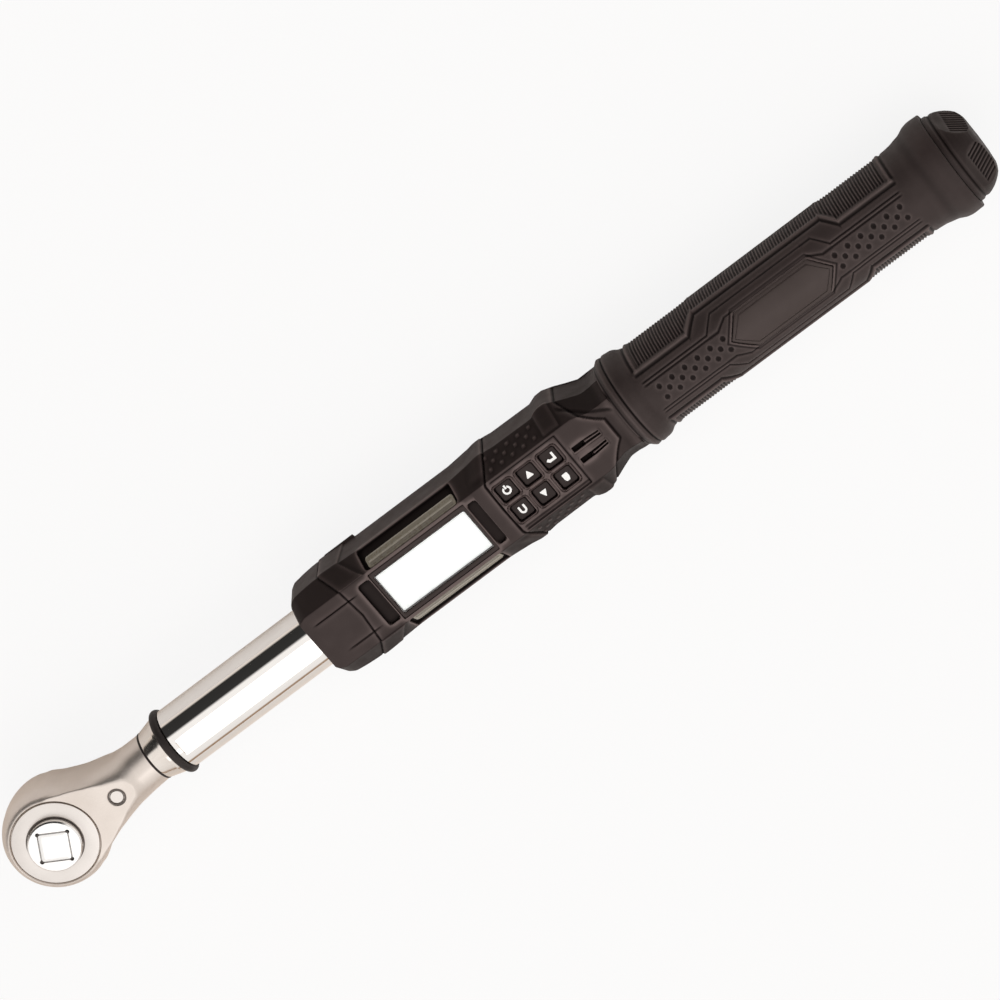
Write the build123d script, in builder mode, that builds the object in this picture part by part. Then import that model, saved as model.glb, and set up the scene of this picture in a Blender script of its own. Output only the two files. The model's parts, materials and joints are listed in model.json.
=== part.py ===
from build123d import *
import math
import os

# Electronic torque wrench with a push-through ratchet head.
# Frame: the origin is where the drive's axis crosses the tool's long axis.
# +X runs from the head to the end cap, +Z out of the display face, millimetres.

os.makedirs("parts", exist_ok=True)

FIT = 0.05               # radial clearance of a turned fit
SLIDE = 0.05             # clearance per side of a sliding square
FREE = 0.3               # clearance round parts that move past each other

# Square drive
SQUARE = 12.7            # across flats, half-inch drive
DRIVE_OUT = 16.0         # length standing out of the hub
DRIVE_TURN = -31.0       # degrees, the square's rest angle about the drive axis
CORNER_R = 1.2           # rounded long edges of the square
TIP_CHAMFER = 1.0
BALL_R = 2.38            # retaining ball
BALL_OUT = 0.7           # how far the ball stands out of the flat
BALL_FROM_TIP = 8.0
DETENT_HOLE_R = 2.45
RELIEF_R = 0.95          # corner reliefs of the gear's square hole
DETENT_FLOOR = 2.0       # wall left behind the ball's blind hole
BALL_GROOVE = (2.4, 4.2)  # groove in the hub for the ball: depth across the flat, width
BALL_GROOVE_END = 8.0    # where the groove stops, from the middle plane

# Head, from the square outwards
HUB_WALL = 2.72          # hub outside the square's corners
HUB_R = SQUARE / math.sqrt(2) + HUB_WALL
HUB_PROUD = 3.8          # hub standing out of the cover
HUB_CHAMFER = 0.6
GEAR_TEETH = 36
TOOTH_HALF_ANGLE = 0.8
TOOTH_DEPTH = 1.2
GEAR_ROOT_R = HUB_R + 2.6
GEAR_TIP_R = GEAR_ROOT_R + TOOTH_DEPTH
POCKET_R = GEAR_TIP_R + 0.45
COVER_R = POCKET_R + 2.95   # seat of the ring covers
COVER_T = 2.0
FACE_R = COVER_R + 0.7   # head radius at its flat faces
DISC_R = FACE_R + 3.65   # round of the head at its widest
FACE_Z = 15.5            # half thickness of the head
# Barrel of the round head, from the upper face down: (height, how far inside the widest radius)
BARREL = [(14.0, 1.95), (12.0, 1.05), (9.5, 0.3), (6.0, 0.0), (0.0, 0.15), (-5.0, 0.65), (-9.5, 1.55), (-12.5, 2.4)]
PAWL_Z = 6.0             # half thickness of the pawl
PAWL_POCKET_Z = PAWL_Z + 0.2
PAWL_ROOF_Y = 10.4       # far wall of the pawl's pocket
PIN_X = 33.8             # pawl pin's place along the neck
PIN_R = 3.0
PIN_END_Z = 15.2         # pin end from the axis
PIN_SINK_R = 3.95        # sink round each pin end
PIN_SINK = 0.8
PAWL_HUB_R = 5.0
PAWL_ANGLE = 25.0        # where the pawl's nose meets the gear
NOSE_R = GEAR_ROOT_R + 0.25
NOSE_WIDE_R = POCKET_R
NOSE_HALF_ANGLE = 4.85
PAWL_BACK = ((POCKET_R + 1.05, 8.6), (PIN_X - 9.8, 8.4))
LEAF = 0.35              # thickness of the pawl's leaf spring

# Neck sections before the faces are milled flat:
# (x, half width, height above the widest level, depth below it, that level, squareness)
NECK = [
    (2.0, 20.0, 20.0, 27.0, 4.0, 3.4),
    (9.0, 18.8, 20.0, 26.0, 4.0, 3.2),
    (17.0, 16.4, 20.5, 24.5, 4.0, 3.0),
    (26.0, 13.8, 15.6, 21.0, 4.0, 2.9),
    (33.5, 12.3, 14.2, 19.5, 3.2, 2.5),
    (39.5, 11.5, 14.2, 16.5, 2.4, 2.2),
    (46.0, 11.4, 11.9, 13.2, 1.4, 2.0),
    (53.0, 11.3, 11.3, 11.3, 0.0, 2.0),
]
NECK_POINTS = 16         # points round each neck section
TANG_R = 9.0
TANG_END = 96.0
SLOT_START = 80.0        # fork in the tang that takes the beam
SLOT_HALF = 3.0
FORK_PIN_X = 88.0
REAR_PIN_X = 148.0
PIN_CROSS_R = 2.0

# Collar, O-ring and tube
TUBE_R = 14.0
TUBE_WALL = 2.0
TUBE_BORE_R = TUBE_R - TUBE_WALL
TUBE_START = 66.0
TUBE_END = 165.0
SPIGOT_END = TUBE_START + 8.0
SEAL_R = 11.4
SEAL_END = 54.0
COLLAR_SMALL_R = SEAL_R + 0.1
COLLAR_BIG_R = TUBE_R - 0.6
COLLAR_EDGE = (1.2, 0.4)  # bevel at the collar's small end
RING_GROOVE_R = TUBE_R - 1.85
RING_GROOVE_W = 3.8
COLLAR_CONE_END = TUBE_START - RING_GROOVE_W
RING_SECTION_R = 1.75
TUBE_FLAT_Z = TUBE_R - 0.7
TUBE_FLAT_START = 68.5
TUBE_FLAT_END = 142.3
BEAM_HALF_Y = 6.0
BEAM_HALF_Z = 8.0
BEAM_BLOCK = (140.0, 156.0)
GAUGE = (9.0, 0.4, 6.0)
GAUGE_X = (108.0, 128.0)

# Housing: octagonal section
FACE_TOP = 17.0          # display face above the axis
FACE_HALF = 13.9
SIDE = 21.0              # half width across the side walls
SIDE_TOP = 8.0
SIDE_LOW = -9.9
UNDER = -17.0
SPLIT_Z = SIDE_LOW       # joint between the two shells
HOUSING_END = 303.0
# Outer stations: (x, half width, face height)
STATIONS = [
    (142.8, 17.6, 15.6),
    (143.8, 19.2, 16.1),
    (146.4, 20.9, 16.6),
    (151.5, 21.5, 16.9),
    (157.0, 21.9, 17.0),
    (163.0, 22.0, 17.0),
    (180.0, 21.2, 17.0),
    (229.0, 21.1, 17.0),
    (238.0, 21.9, 17.0),
    (243.0, 22.3, 17.0),
    (247.5, 22.3, 17.0),
    (252.0, 21.7, 17.0),
    (272.0, 21.5, 17.0),
    (276.0, 23.0, 17.0),
    (279.5, 23.1, 17.0),
    (284.3, 21.6, 17.0),
    (289.3, 19.5, 17.0),
    (294.3, 17.6, 17.0),
    (HOUSING_END, 17.7, 17.0),
]
BAND = (164.0, 179.0, 22.6, 17.2)  # raised band: start, end, half width, face height
WALL = 2.2
CAVITY = (TUBE_END, 286.5)
LOW_CAVITY_HALF = 18.6
LOW_CAVITY_TOP = 4.0
BOARD_SEAT_HALF = 16.8
BOARD_TOP = 9.8
UPPER_CAVITY_HALF = 12.6
ROOF = FACE_TOP - 2.0    # underside of the face
PAN_HALF = 12.0
PAN_FLOOR = -15.0
SCREW_X = (182.0, 262.0)
SCREW_Y = 15.4
BOSS_R = 3.6
BOSS_TOP = 2.0
SCREW_R = 1.5
SCREW_HEAD_R = 2.7
SCREW_HEAD_T = 2.0
SCREW_LENGTH = 12.0
SCREW_SEAT_Z = -11.6

# Display
WINDOW = (179.0, 229.0)
WINDOW_HALF = 12.4
LENS = (180.8, 227.5)
LENS_HALF = 9.8
LENS_TOP = 16.8
LENS_T = 1.2
LENS_LEDGE = 1.0
LCD = (178.0, 230.0)
LCD_HALF = 11.5
PAD_HALF = 11.0
PADS = ((172.3, 178.2), (229.8, 234.2))
PAD_DEPTH = 0.7
BAR_X = (181.6, 227.5)
BAR_LOCAL = (-5.2, 0.7)  # across the bevel, from its middle line
BAR_DEPTH = 1.4
BEVEL_RECESS = (1.0, 5.2)
BEVEL_RECESS_X = (179.8, 228.2)
BEVEL_RECESS_DEPTH = 1.2

# Keys
KEY_X = (246.9, 258.1, 269.4)
KEY_Y = (5.6, -4.9)
KEY_WELL = 8.5
KEY_CAP = 8.1
KEY_TOP = 15.9
KEY_FLANGE = 9.6
KEY_FLANGE_T = 1.0
KEY_STEM_R = 1.5
KEY_STEM_LOW = 13.3
KEY_TRAVEL = 0.6
SWITCH = (6.0, 2.8)
KEY_FRAME = 10.2
KEY_FRAME_DEPTH = 0.3
SLOTS_X = (278.6, 292.2)
SLOT_Y = (2.6, -3.4)
SLOT_W = 2.2
SLOT_DEPTH = 1.2

# Board
BOARD = (168.0, CAVITY[1] - 0.5)
BOARD_HALF = 16.6
BOARD_T = 1.6
CHIPS = ((196.0, 0.0, 12.0, 12.0), (222.0, 4.0, 9.0, 9.0), (252.0, -3.0, 10.0, 7.0))
CHIP_T = 1.5
BUZZER_X = 280.5
BUZZER_R = 5.5
BUZZER_H = 4.2

# Spine and handle
SPINE = (BEAM_BLOCK[1], 308.0)
SPINE_HALF = 4.5
SPINE_LOW = -math.sqrt(TUBE_BORE_R ** 2 - SPINE_HALF ** 2) + 0.12
SPINE_Z = (SPINE_LOW, SPINE_LOW + 5.0)
CELL_R = 7.25
CELL_LENGTH = 50.5
CELLS = 3
NUB_R = 2.75
NUB = 1.3
CELLS_START = 312.0
CELLS_END = CELLS_START + CELLS * CELL_LENGTH
CONTACT_T = 0.5
CONTACT_ROOM = 12.1      # from the last cell to the cap's floor
CAP_FLOOR = CELLS_END + CONTACT_ROOM
CAP_START = CAP_FLOOR - 5.6
CAP_LENGTH = 14.0
CAP_END = CAP_START + CAP_LENGTH
SLEEVE_START = CAVITY[1] + 0.5
SLEEVE_END = CAP_START - 4.0
SLEEVE_R = 15.0
SLEEVE_BORE = CELL_R + 0.35
SLEEVE_FRONT = CELLS_START - 1.0
SPIGOT_R = 12.0
SPIGOT_BORE = 8.0
SPIGOT_START = CAP_START - 15.0
CAP_RING_R = 1.3
GRIP_START = HOUSING_END
# Grip outline: (x, radius)
GRIP = [
    (GRIP_START, 19.3), (304.5, 20.4), (306.5, 21.3), (309.3, 21.4), (312.0, 21.0), (314.6, 20.6),
    (316.2, 19.2), (318.0, 19.2), (345.0, 19.3), (350.0, 19.4), (416.0, 19.3), (421.0, 19.2),
    (CAP_START - 20.0, 19.2), (CAP_START - 14.0, 20.2), (CAP_START - 8.0, 22.4), (CAP_START - 5.0, 22.8),
    (CAP_START, 22.8),
]
RIB_PITCH = 1.4
RIB_GROOVE = 0.7
RIB_DEPTH = 0.6
# Ribbed fields on both sides: (start, end, z centre, z half height, radius there)
RIB_FIELDS = ((320.0, 345.0, 0.0, 8.0, 19.3), (350.0, 416.0, 0.0, 6.0, 19.3), (421.0, CAP_START - 25.0, 0.0, 8.0, 19.2))
DOT_R = 0.8
DOT_DEPTH = 0.5
DOT_PITCH = 6.45
DOT_FIELDS = (323.0, 412.0)
DOT_ROW_Y = 2.7
PLAQUE_TIPS = (357.5, 408.6)
PLAQUE_CORNERS = (365.3, 401.5)
PLAQUE_HALF = 9.0
PLAQUE_TOP = 19.1
PLAQUE_T = 2.2
# Cap outline: (from the cap's start, radius)
CAP_OUTLINE = [(0.0, 20.6), (2.0, 20.5), (3.0, 19.8), (4.5, 20.0), (9.8, 17.8), (12.6, 15.2), (CAP_LENGTH, 11.8)]
CAP_RIBS = 9
CAP_RIB_PITCH = 1.7
CAP_RIB_W = 0.7
CAP_RIB_LENGTH = 14.0
CAP_RIB_DEPTH = 0.6


def save(part, name):
    part.label = name
    export_step(part, f"parts/{name}.step")
    print(f"{name:20s} solids {len(part.solids()):2d} volume {part.volume:10.1f}")


def turned(points):
    """Solid of revolution about the long axis from (x, radius) points."""
    with BuildPart() as body:
        with BuildSketch(Plane.XZ):
            with BuildLine():
                Polyline(*points, close=True)
            make_face()
        revolve(axis=Axis.X)
    return body.part


def block(x_range, y_range, z_range):
    """Rectangular block between three pairs of limits."""
    with BuildPart() as body:
        with BuildSketch(Plane.XY.offset(z_range[0])):
            with Locations(((x_range[0] + x_range[1]) / 2, (y_range[0] + y_range[1]) / 2)):
                Rectangle(x_range[1] - x_range[0], y_range[1] - y_range[0])
        extrude(amount=z_range[1] - z_range[0])
    return body.part


def rod_x(x_range, radius):
    """Round rod along the long axis."""
    with BuildPart() as body:
        with BuildSketch(Plane.YZ.offset(x_range[0])):
            Circle(radius)
        extrude(amount=x_range[1] - x_range[0])
    return body.part


def rod_z(x, y, z_range, radius):
    """Round rod standing along Z."""
    with BuildPart() as body:
        with BuildSketch(Plane.XY.offset(z_range[0])):
            with Locations((x, y)):
                Circle(radius)
        extrude(amount=z_range[1] - z_range[0])
    return body.part


def polar(radius, degrees):
    angle = math.radians(degrees)
    return (radius * math.cos(angle), radius * math.sin(angle))


def octagon(side, face):
    """Corners of the housing's section as (y, z), for a half width and a face height."""
    k = side / SIDE
    high = SIDE_TOP * face / FACE_TOP
    half = FACE_HALF * min(1.0, k)
    low = SIDE_LOW * face / FACE_TOP
    under = UNDER * face / FACE_TOP
    right = [(side, low), (side, high), (half, face)]
    left = [(-half, face), (-side, high), (-side, low)]
    return right + left + [(-half, under), (half, under)]


def squared_ellipse(half_y, above, below, level, squareness):
    """Points (y, z) of an egg round its widest level, its sides flattened as squareness rises above 2."""
    points = []
    for k in range(NECK_POINTS):
        angle = 2 * math.pi * (k + 0.5) / NECK_POINTS
        c = math.cos(angle)
        s = math.sin(angle)
        y = half_y * math.copysign(abs(c) ** (2 / squareness), c)
        z = above if s > 0 else -below
        points.append((y, level + z * abs(s) ** (2 / squareness)))
    return points


# ---------------------------------------------------------------- ratchet head
with BuildPart() as ratchet_head:
    with BuildSketch(Plane.XZ):
        with BuildLine():
            barrel = Spline((FACE_R, FACE_Z), *[(DISC_R - inset, z) for z, inset in BARREL], (FACE_R, -FACE_Z))
            Polyline(barrel @ 1, (0, -FACE_Z), (0, FACE_Z), barrel @ 0)
        make_face()
    revolve(axis=Axis.Z)
    for x, *egg in NECK:
        with BuildSketch(Plane.YZ.offset(x)):
            with BuildLine():
                Spline(*squared_ellipse(*egg), periodic=True)
            make_face()
    loft()
    # flat faces
    for low in (-3 * FACE_Z, FACE_Z):
        with BuildSketch(Plane.XY.offset(low)):
            with Locations((NECK[-1][0] / 2, 0)):
                Rectangle(3 * NECK[-1][0], 4 * DISC_R)
        extrude(amount=2 * FACE_Z, mode=Mode.SUBTRACT)
    # tang inside the collar and the tube
    with BuildSketch(Plane.YZ.offset(NECK[-1][0])):
        Circle(TANG_R)
    extrude(amount=TANG_END - NECK[-1][0])
    # gear pocket and cover seats
    with BuildSketch(Plane.XY.offset(-FACE_Z)):
        Circle(POCKET_R)
    extrude(amount=2 * FACE_Z, mode=Mode.SUBTRACT)
    for low in (-FACE_Z, FACE_Z - COVER_T):
        with BuildSketch(Plane.XY.offset(low)):
            Circle(COVER_R)
        extrude(amount=COVER_T, mode=Mode.SUBTRACT)
    # pawl pocket
    with BuildSketch(Plane.XY.offset(-PAWL_POCKET_Z)):
        with BuildLine():
            Polyline((POCKET_R - 6.0, 1.5), (POCKET_R + 0.5, 1.5), (PIN_X - 9.8, -2.6), (PIN_X - 2.8, -6.0),
                     (PIN_X + 2.7, -6.0), (PIN_X + 6.0, -2.0), (PIN_X + 6.0, 2.5), (PIN_X + 1.2, 6.4),
                     (PIN_X - 5.8, 9.2), (PIN_X - 7.0, PAWL_ROOF_Y), (POCKET_R - 4.0, PAWL_ROOF_Y), close=True)
        make_face()
    extrude(amount=2 * PAWL_POCKET_Z, mode=Mode.SUBTRACT)
    # pin bore and the sinks round its ends
    with BuildSketch(Plane.XY.offset(-FACE_Z)):
        with Locations((PIN_X, 0)):
            Circle(PIN_R + FIT)
    extrude(amount=2 * FACE_Z, mode=Mode.SUBTRACT)
    for low in (-FACE_Z, PIN_END_Z - PIN_SINK):
        with BuildSketch(Plane.XY.offset(low)):
            with Locations((PIN_X, 0)):
                Circle(PIN_SINK_R)
        extrude(amount=FACE_Z - PIN_END_Z + PIN_SINK, mode=Mode.SUBTRACT)
    # fork for the beam and its pin hole
    with BuildSketch(Plane.XZ.offset(-TANG_R)):
        with Locations(((SLOT_START + TANG_END) / 2, 0)):
            Rectangle(TANG_END - SLOT_START, 2 * SLOT_HALF)
    extrude(amount=2 * TANG_R, mode=Mode.SUBTRACT)
    with BuildSketch(Plane.XY.offset(-TANG_R)):
        with Locations((FORK_PIN_X, 0)):
            Circle(PIN_CROSS_R + FIT)
    extrude(amount=2 * TANG_R, mode=Mode.SUBTRACT)
save(ratchet_head.part, "ratchet_head")


# ---------------------------------------------------------------- covers and gear
def ring_cover(low):
    with BuildPart() as cover:
        with BuildSketch(Plane.XY.offset(low)):
            Circle(COVER_R - FIT)
            Circle(HUB_R + FIT, mode=Mode.SUBTRACT)
        extrude(amount=COVER_T)
    return cover.part


save(ring_cover(FACE_Z - COVER_T), "cover_upper")
save(ring_cover(-FACE_Z), "cover_lower")

HUB_Z = FACE_Z + HUB_PROUD
TOOTH_Z = FACE_Z - COVER_T
PITCH = 360.0 / GEAR_TEETH
TIP_Z = HUB_Z + DRIVE_OUT
BALL_Z = -TIP_Z + BALL_FROM_TIP
tooth_points = []
for k in range(GEAR_TEETH):
    tooth_points.append(polar(GEAR_TIP_R, k * PITCH - TOOTH_HALF_ANGLE))
    tooth_points.append(polar(GEAR_TIP_R, k * PITCH + TOOTH_HALF_ANGLE))
    tooth_points.append(polar(GEAR_ROOT_R, (k + 0.5) * PITCH))

with BuildPart() as ratchet_gear:
    with BuildSketch(Plane.XY.offset(-HUB_Z)):
        Circle(HUB_R)
    extrude(amount=2 * HUB_Z)
    chamfer(ratchet_gear.edges(), HUB_CHAMFER)
    with BuildSketch(Plane.XY.offset(-TOOTH_Z)):
        with BuildLine():
            Polyline(*tooth_points, close=True)
        make_face()
    extrude(amount=2 * TOOTH_Z)
    with BuildSketch(Plane.XY.offset(-HUB_Z)):
        with Locations(Location((0, 0), DRIVE_TURN)):
            Rectangle(SQUARE + 2 * SLIDE, SQUARE + 2 * SLIDE)
            with GridLocations(SQUARE, SQUARE, 2, 2):
                Circle(RELIEF_R)
    extrude(amount=2 * HUB_Z, mode=Mode.SUBTRACT)
    # groove that the retaining ball runs into when the drive is pushed through
    with BuildSketch(Plane.XY.offset(-HUB_Z)):
        with Locations(Location((0, 0), DRIVE_TURN)):
            with Locations((SQUARE / 2, 0)):
                Rectangle(*BALL_GROOVE)
    extrude(amount=HUB_Z - BALL_GROOVE_END, mode=Mode.SUBTRACT)
save(ratchet_gear.part, "ratchet_gear")

# ---------------------------------------------------------------- square drive
with BuildPart() as square_drive:
    with BuildSketch(Plane.XY.offset(-TIP_Z)):
        with Locations(Location((0, 0), DRIVE_TURN)):
            RectangleRounded(SQUARE, SQUARE, CORNER_R)
    extrude(amount=TIP_Z + HUB_Z)
    chamfer(square_drive.faces().sort_by(Axis.Z)[0].edges(), TIP_CHAMFER)
    chamfer(square_drive.faces().sort_by(Axis.Z)[-1].edges(), 0.3)
    # blind cross hole for the ball and its spring
    ball_axis = Plane(origin=(0, 0, BALL_Z), z_dir=(*polar(1, DRIVE_TURN), 0))
    with BuildSketch(ball_axis.offset(-SQUARE / 2 + DETENT_FLOOR)):
        Circle(DETENT_HOLE_R)
    extrude(amount=SQUARE, mode=Mode.SUBTRACT)
save(square_drive.part, "square_drive")

ball_middle = SQUARE / 2 + BALL_OUT - BALL_R
with BuildPart() as detent_ball:
    with Locations((*polar(ball_middle, DRIVE_TURN), BALL_Z)):
        Sphere(BALL_R)
save(detent_ball.part, "detent_ball")


def coil(radius, wire_r, pitch, length, place):
    """Closed-form coil spring along the place's own Z, from its origin."""
    with BuildPart() as spring:
        with BuildLine():
            path = Helix(pitch=pitch, height=length, radius=radius)
        with BuildSketch(Plane(origin=path @ 0, z_dir=path % 0)):
            Circle(wire_r)
        sweep(is_frenet=True)
    return place * spring.part


DETENT_WIRE = 0.25
detent_length = ball_middle - BALL_R + SQUARE / 2 - DETENT_FLOOR - 2 * DETENT_WIRE
detent_place = Plane(origin=(*polar(-SQUARE / 2 + DETENT_FLOOR + DETENT_WIRE, DRIVE_TURN), BALL_Z),
                     z_dir=(*polar(1, DRIVE_TURN), 0)).location
save(coil(1.6, DETENT_WIRE, 1.3, detent_length, detent_place), "detent_spring")

# ---------------------------------------------------------------- pawl
nose = polar(NOSE_R, PAWL_ANGLE)
nose_up = polar(NOSE_WIDE_R, PAWL_ANGLE + NOSE_HALF_ANGLE)
nose_down = polar(NOSE_WIDE_R, PAWL_ANGLE - NOSE_HALF_ANGLE)
with BuildPart() as pawl:
    with BuildSketch(Plane.XY.offset(-PAWL_Z)):
        with BuildLine():
            Polyline(nose, nose_up, *PAWL_BACK, (PIN_X, PAWL_HUB_R - 0.1), (PIN_X, -PAWL_HUB_R + 0.1),
                     (PIN_X - 9.3, -0.6), (POCKET_R + 1.25, 3.4), nose_down, close=True)
        make_face()
        with Locations((PIN_X, 0)):
            Circle(PAWL_HUB_R)
            Circle(PIN_R + FIT, mode=Mode.SUBTRACT)
    extrude(amount=2 * PAWL_Z)
save(pawl.part, "pawl")

with BuildPart() as pawl_pin:
    with BuildSketch(Plane.XY.offset(-PIN_END_Z)):
        with Locations((PIN_X, 0)):
            Circle(PIN_R)
    extrude(amount=2 * PIN_END_Z)
    chamfer(pawl_pin.edges(), 0.3)
save(pawl_pin.part, "pawl_pin")

# leaf spring between the pocket's far wall and the pawl's back
leaf_x = (PAWL_BACK[0][0] + PAWL_BACK[1][0]) / 2
leaf_y = (PAWL_BACK[0][1] + PAWL_BACK[1][1]) / 2 + 0.01
leaf_top = PAWL_ROOF_Y - 0.01
with BuildPart() as pawl_spring:
    with BuildSketch(Plane.XY.offset(-PAWL_Z + 1.0)):
        with BuildLine():
            Polyline((leaf_x - 4.6, leaf_top), (leaf_x, leaf_y + LEAF), (leaf_x + 4.6, leaf_top),
                     (leaf_x + 5.5, leaf_top), (leaf_x, leaf_y), (leaf_x - 5.5, leaf_top), close=True)
        make_face()
    extrude(amount=2 * (PAWL_Z - 1.0))
save(pawl_spring.part, "pawl_spring")

# ---------------------------------------------------------------- collar, ring, tube
save(turned([(NECK[-1][0], TANG_R + FIT), (SEAL_END, TANG_R + FIT), (SEAL_END, SEAL_R), (NECK[-1][0], SEAL_R)]),
     "neck_seal")
save(turned([(SEAL_END, TANG_R + FIT), (SPIGOT_END, TANG_R + FIT), (SPIGOT_END, TUBE_BORE_R - FIT),
             (TUBE_START, TUBE_BORE_R - FIT), (TUBE_START, RING_GROOVE_R), (COLLAR_CONE_END, RING_GROOVE_R),
             (COLLAR_CONE_END, COLLAR_BIG_R), (SEAL_END + COLLAR_EDGE[0], COLLAR_SMALL_R + COLLAR_EDGE[1]),
             (SEAL_END, COLLAR_SMALL_R)]),
     "neck_collar")
with BuildPart() as collar_o_ring:
    with BuildSketch(Plane.XZ):
        with Locations(((COLLAR_CONE_END + TUBE_START) / 2, RING_GROOVE_R + 0.02 + RING_SECTION_R)):
            Circle(RING_SECTION_R)
    revolve(axis=Axis.X)
save(collar_o_ring.part, "collar_o_ring")

with BuildPart() as outer_tube:
    with BuildSketch(Plane.YZ.offset(TUBE_START)):
        Circle(TUBE_R)
        Circle(TUBE_BORE_R, mode=Mode.SUBTRACT)
    extrude(amount=TUBE_END - TUBE_START)
    with BuildSketch(Plane.XY.offset(TUBE_FLAT_Z)):
        with Locations(((TUBE_FLAT_START + TUBE_FLAT_END) / 2, 0)):
            Rectangle(TUBE_FLAT_END - TUBE_FLAT_START, TUBE_R)
    extrude(amount=TUBE_R, mode=Mode.SUBTRACT)
    with BuildSketch(Plane.XY.offset(-TUBE_R)):
        with Locations((REAR_PIN_X, 0)):
            Circle(PIN_CROSS_R + FIT)
    extrude(amount=2 * TUBE_R, mode=Mode.SUBTRACT)
save(outer_tube.part, "outer_tube")

# ---------------------------------------------------------------- measuring beam
with BuildPart() as load_beam:
    with BuildSketch(Plane.XY.offset(-SLOT_HALF)):
        with Locations(((SLOT_START + TANG_END) / 2, 0)):
            Rectangle(TANG_END - SLOT_START, 2 * BEAM_HALF_Y)
    extrude(amount=2 * SLOT_HALF)
    with BuildSketch(Plane.YZ.offset(TANG_END)):
        Rectangle(2 * BEAM_HALF_Y, 2 * BEAM_HALF_Z)
    extrude(amount=BEAM_BLOCK[0] - TANG_END)
    with BuildSketch(Plane.YZ.offset(BEAM_BLOCK[0])):
        Circle(TUBE_BORE_R - FIT)
    extrude(amount=BEAM_BLOCK[1] - BEAM_BLOCK[0])
    for x in (FORK_PIN_X, REAR_PIN_X):
        with BuildSketch(Plane.XY.offset(-TUBE_R)):
            with Locations((x, 0)):
                Circle(PIN_CROSS_R + FIT)
        extrude(amount=2 * TUBE_R, mode=Mode.SUBTRACT)
save(load_beam.part, "load_beam")

with BuildPart() as strain_gauges:
    for x in GAUGE_X:
        for sign in (-1, 1):
            with Locations((x, sign * (BEAM_HALF_Y + GAUGE[1] / 2), 0)):
                Box(*GAUGE)
save(strain_gauges.part, "strain_gauges")

with BuildPart() as beam_pins:
    for x, half in ((FORK_PIN_X, TANG_R - 0.6), (REAR_PIN_X, TUBE_R - 0.1)):
        with Locations((x, 0, 0)):
            Cylinder(PIN_CROSS_R, 2 * half)
save(beam_pins.part, "beam_pins")

# ---------------------------------------------------------------- housing
BEVEL_SLOPE = math.degrees(math.atan2(SIDE - FACE_HALF, FACE_TOP - SIDE_TOP))


def bevel_plane(sign):
    """Plane on the bevel's middle line: local x along the tool, z out of the bevel."""
    middle = ((WINDOW[0] + WINDOW[1]) / 2, sign * (SIDE + FACE_HALF) / 2, (FACE_TOP + SIDE_TOP) / 2)
    rise = SIDE - FACE_HALF
    run = FACE_TOP - SIDE_TOP
    length = math.hypot(rise, run)
    return Plane(origin=middle, x_dir=(1, 0, 0), z_dir=(0, sign * run / length, rise / length))


def bevel_rectangle(sign, x_range, local, radius):
    """Rounded rectangle on the bevel, local measured down the bevel from its middle."""
    middle_x = (x_range[0] + x_range[1]) / 2 - (WINDOW[0] + WINDOW[1]) / 2
    with Locations((middle_x, sign * (local[0] + local[1]) / 2)):
        RectangleRounded(x_range[1] - x_range[0], local[1] - local[0], radius)


with BuildPart() as shell:
    for x, side, face in STATIONS:
        with BuildSketch(Plane.YZ.offset(x)):
            Polygon(*octagon(side, face), align=None)
    loft(ruled=True)
    with BuildSketch(Plane.YZ.offset(BAND[0])):
        Polygon(*octagon(BAND[2], BAND[3]), align=None)
    extrude(amount=BAND[1] - BAND[0])
    # bore for the tube and bore for the battery sleeve
    with BuildSketch(Plane.YZ.offset(STATIONS[0][0])):
        Circle(TUBE_R + FIT)
    extrude(amount=CAVITY[0] - STATIONS[0][0], mode=Mode.SUBTRACT)
    with BuildSketch(Plane.YZ.offset(CAVITY[1])):
        Circle(SLEEVE_R + FIT)
    extrude(amount=HOUSING_END - CAVITY[1], mode=Mode.SUBTRACT)
    # room for the electronics
    for half, z_range in ((LOW_CAVITY_HALF, (SPLIT_Z, LOW_CAVITY_TOP)), (BOARD_SEAT_HALF, (LOW_CAVITY_TOP, BOARD_TOP)),
                          (UPPER_CAVITY_HALF, (BOARD_TOP, ROOF)), (PAN_HALF, (PAN_FLOOR, SPLIT_Z))):
        with BuildSketch(Plane.XY.offset(z_range[0])):
            with Locations(((CAVITY[0] + CAVITY[1]) / 2, 0)):
                Rectangle(CAVITY[1] - CAVITY[0], 2 * half)
        extrude(amount=z_range[1] - z_range[0], mode=Mode.SUBTRACT)

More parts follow.
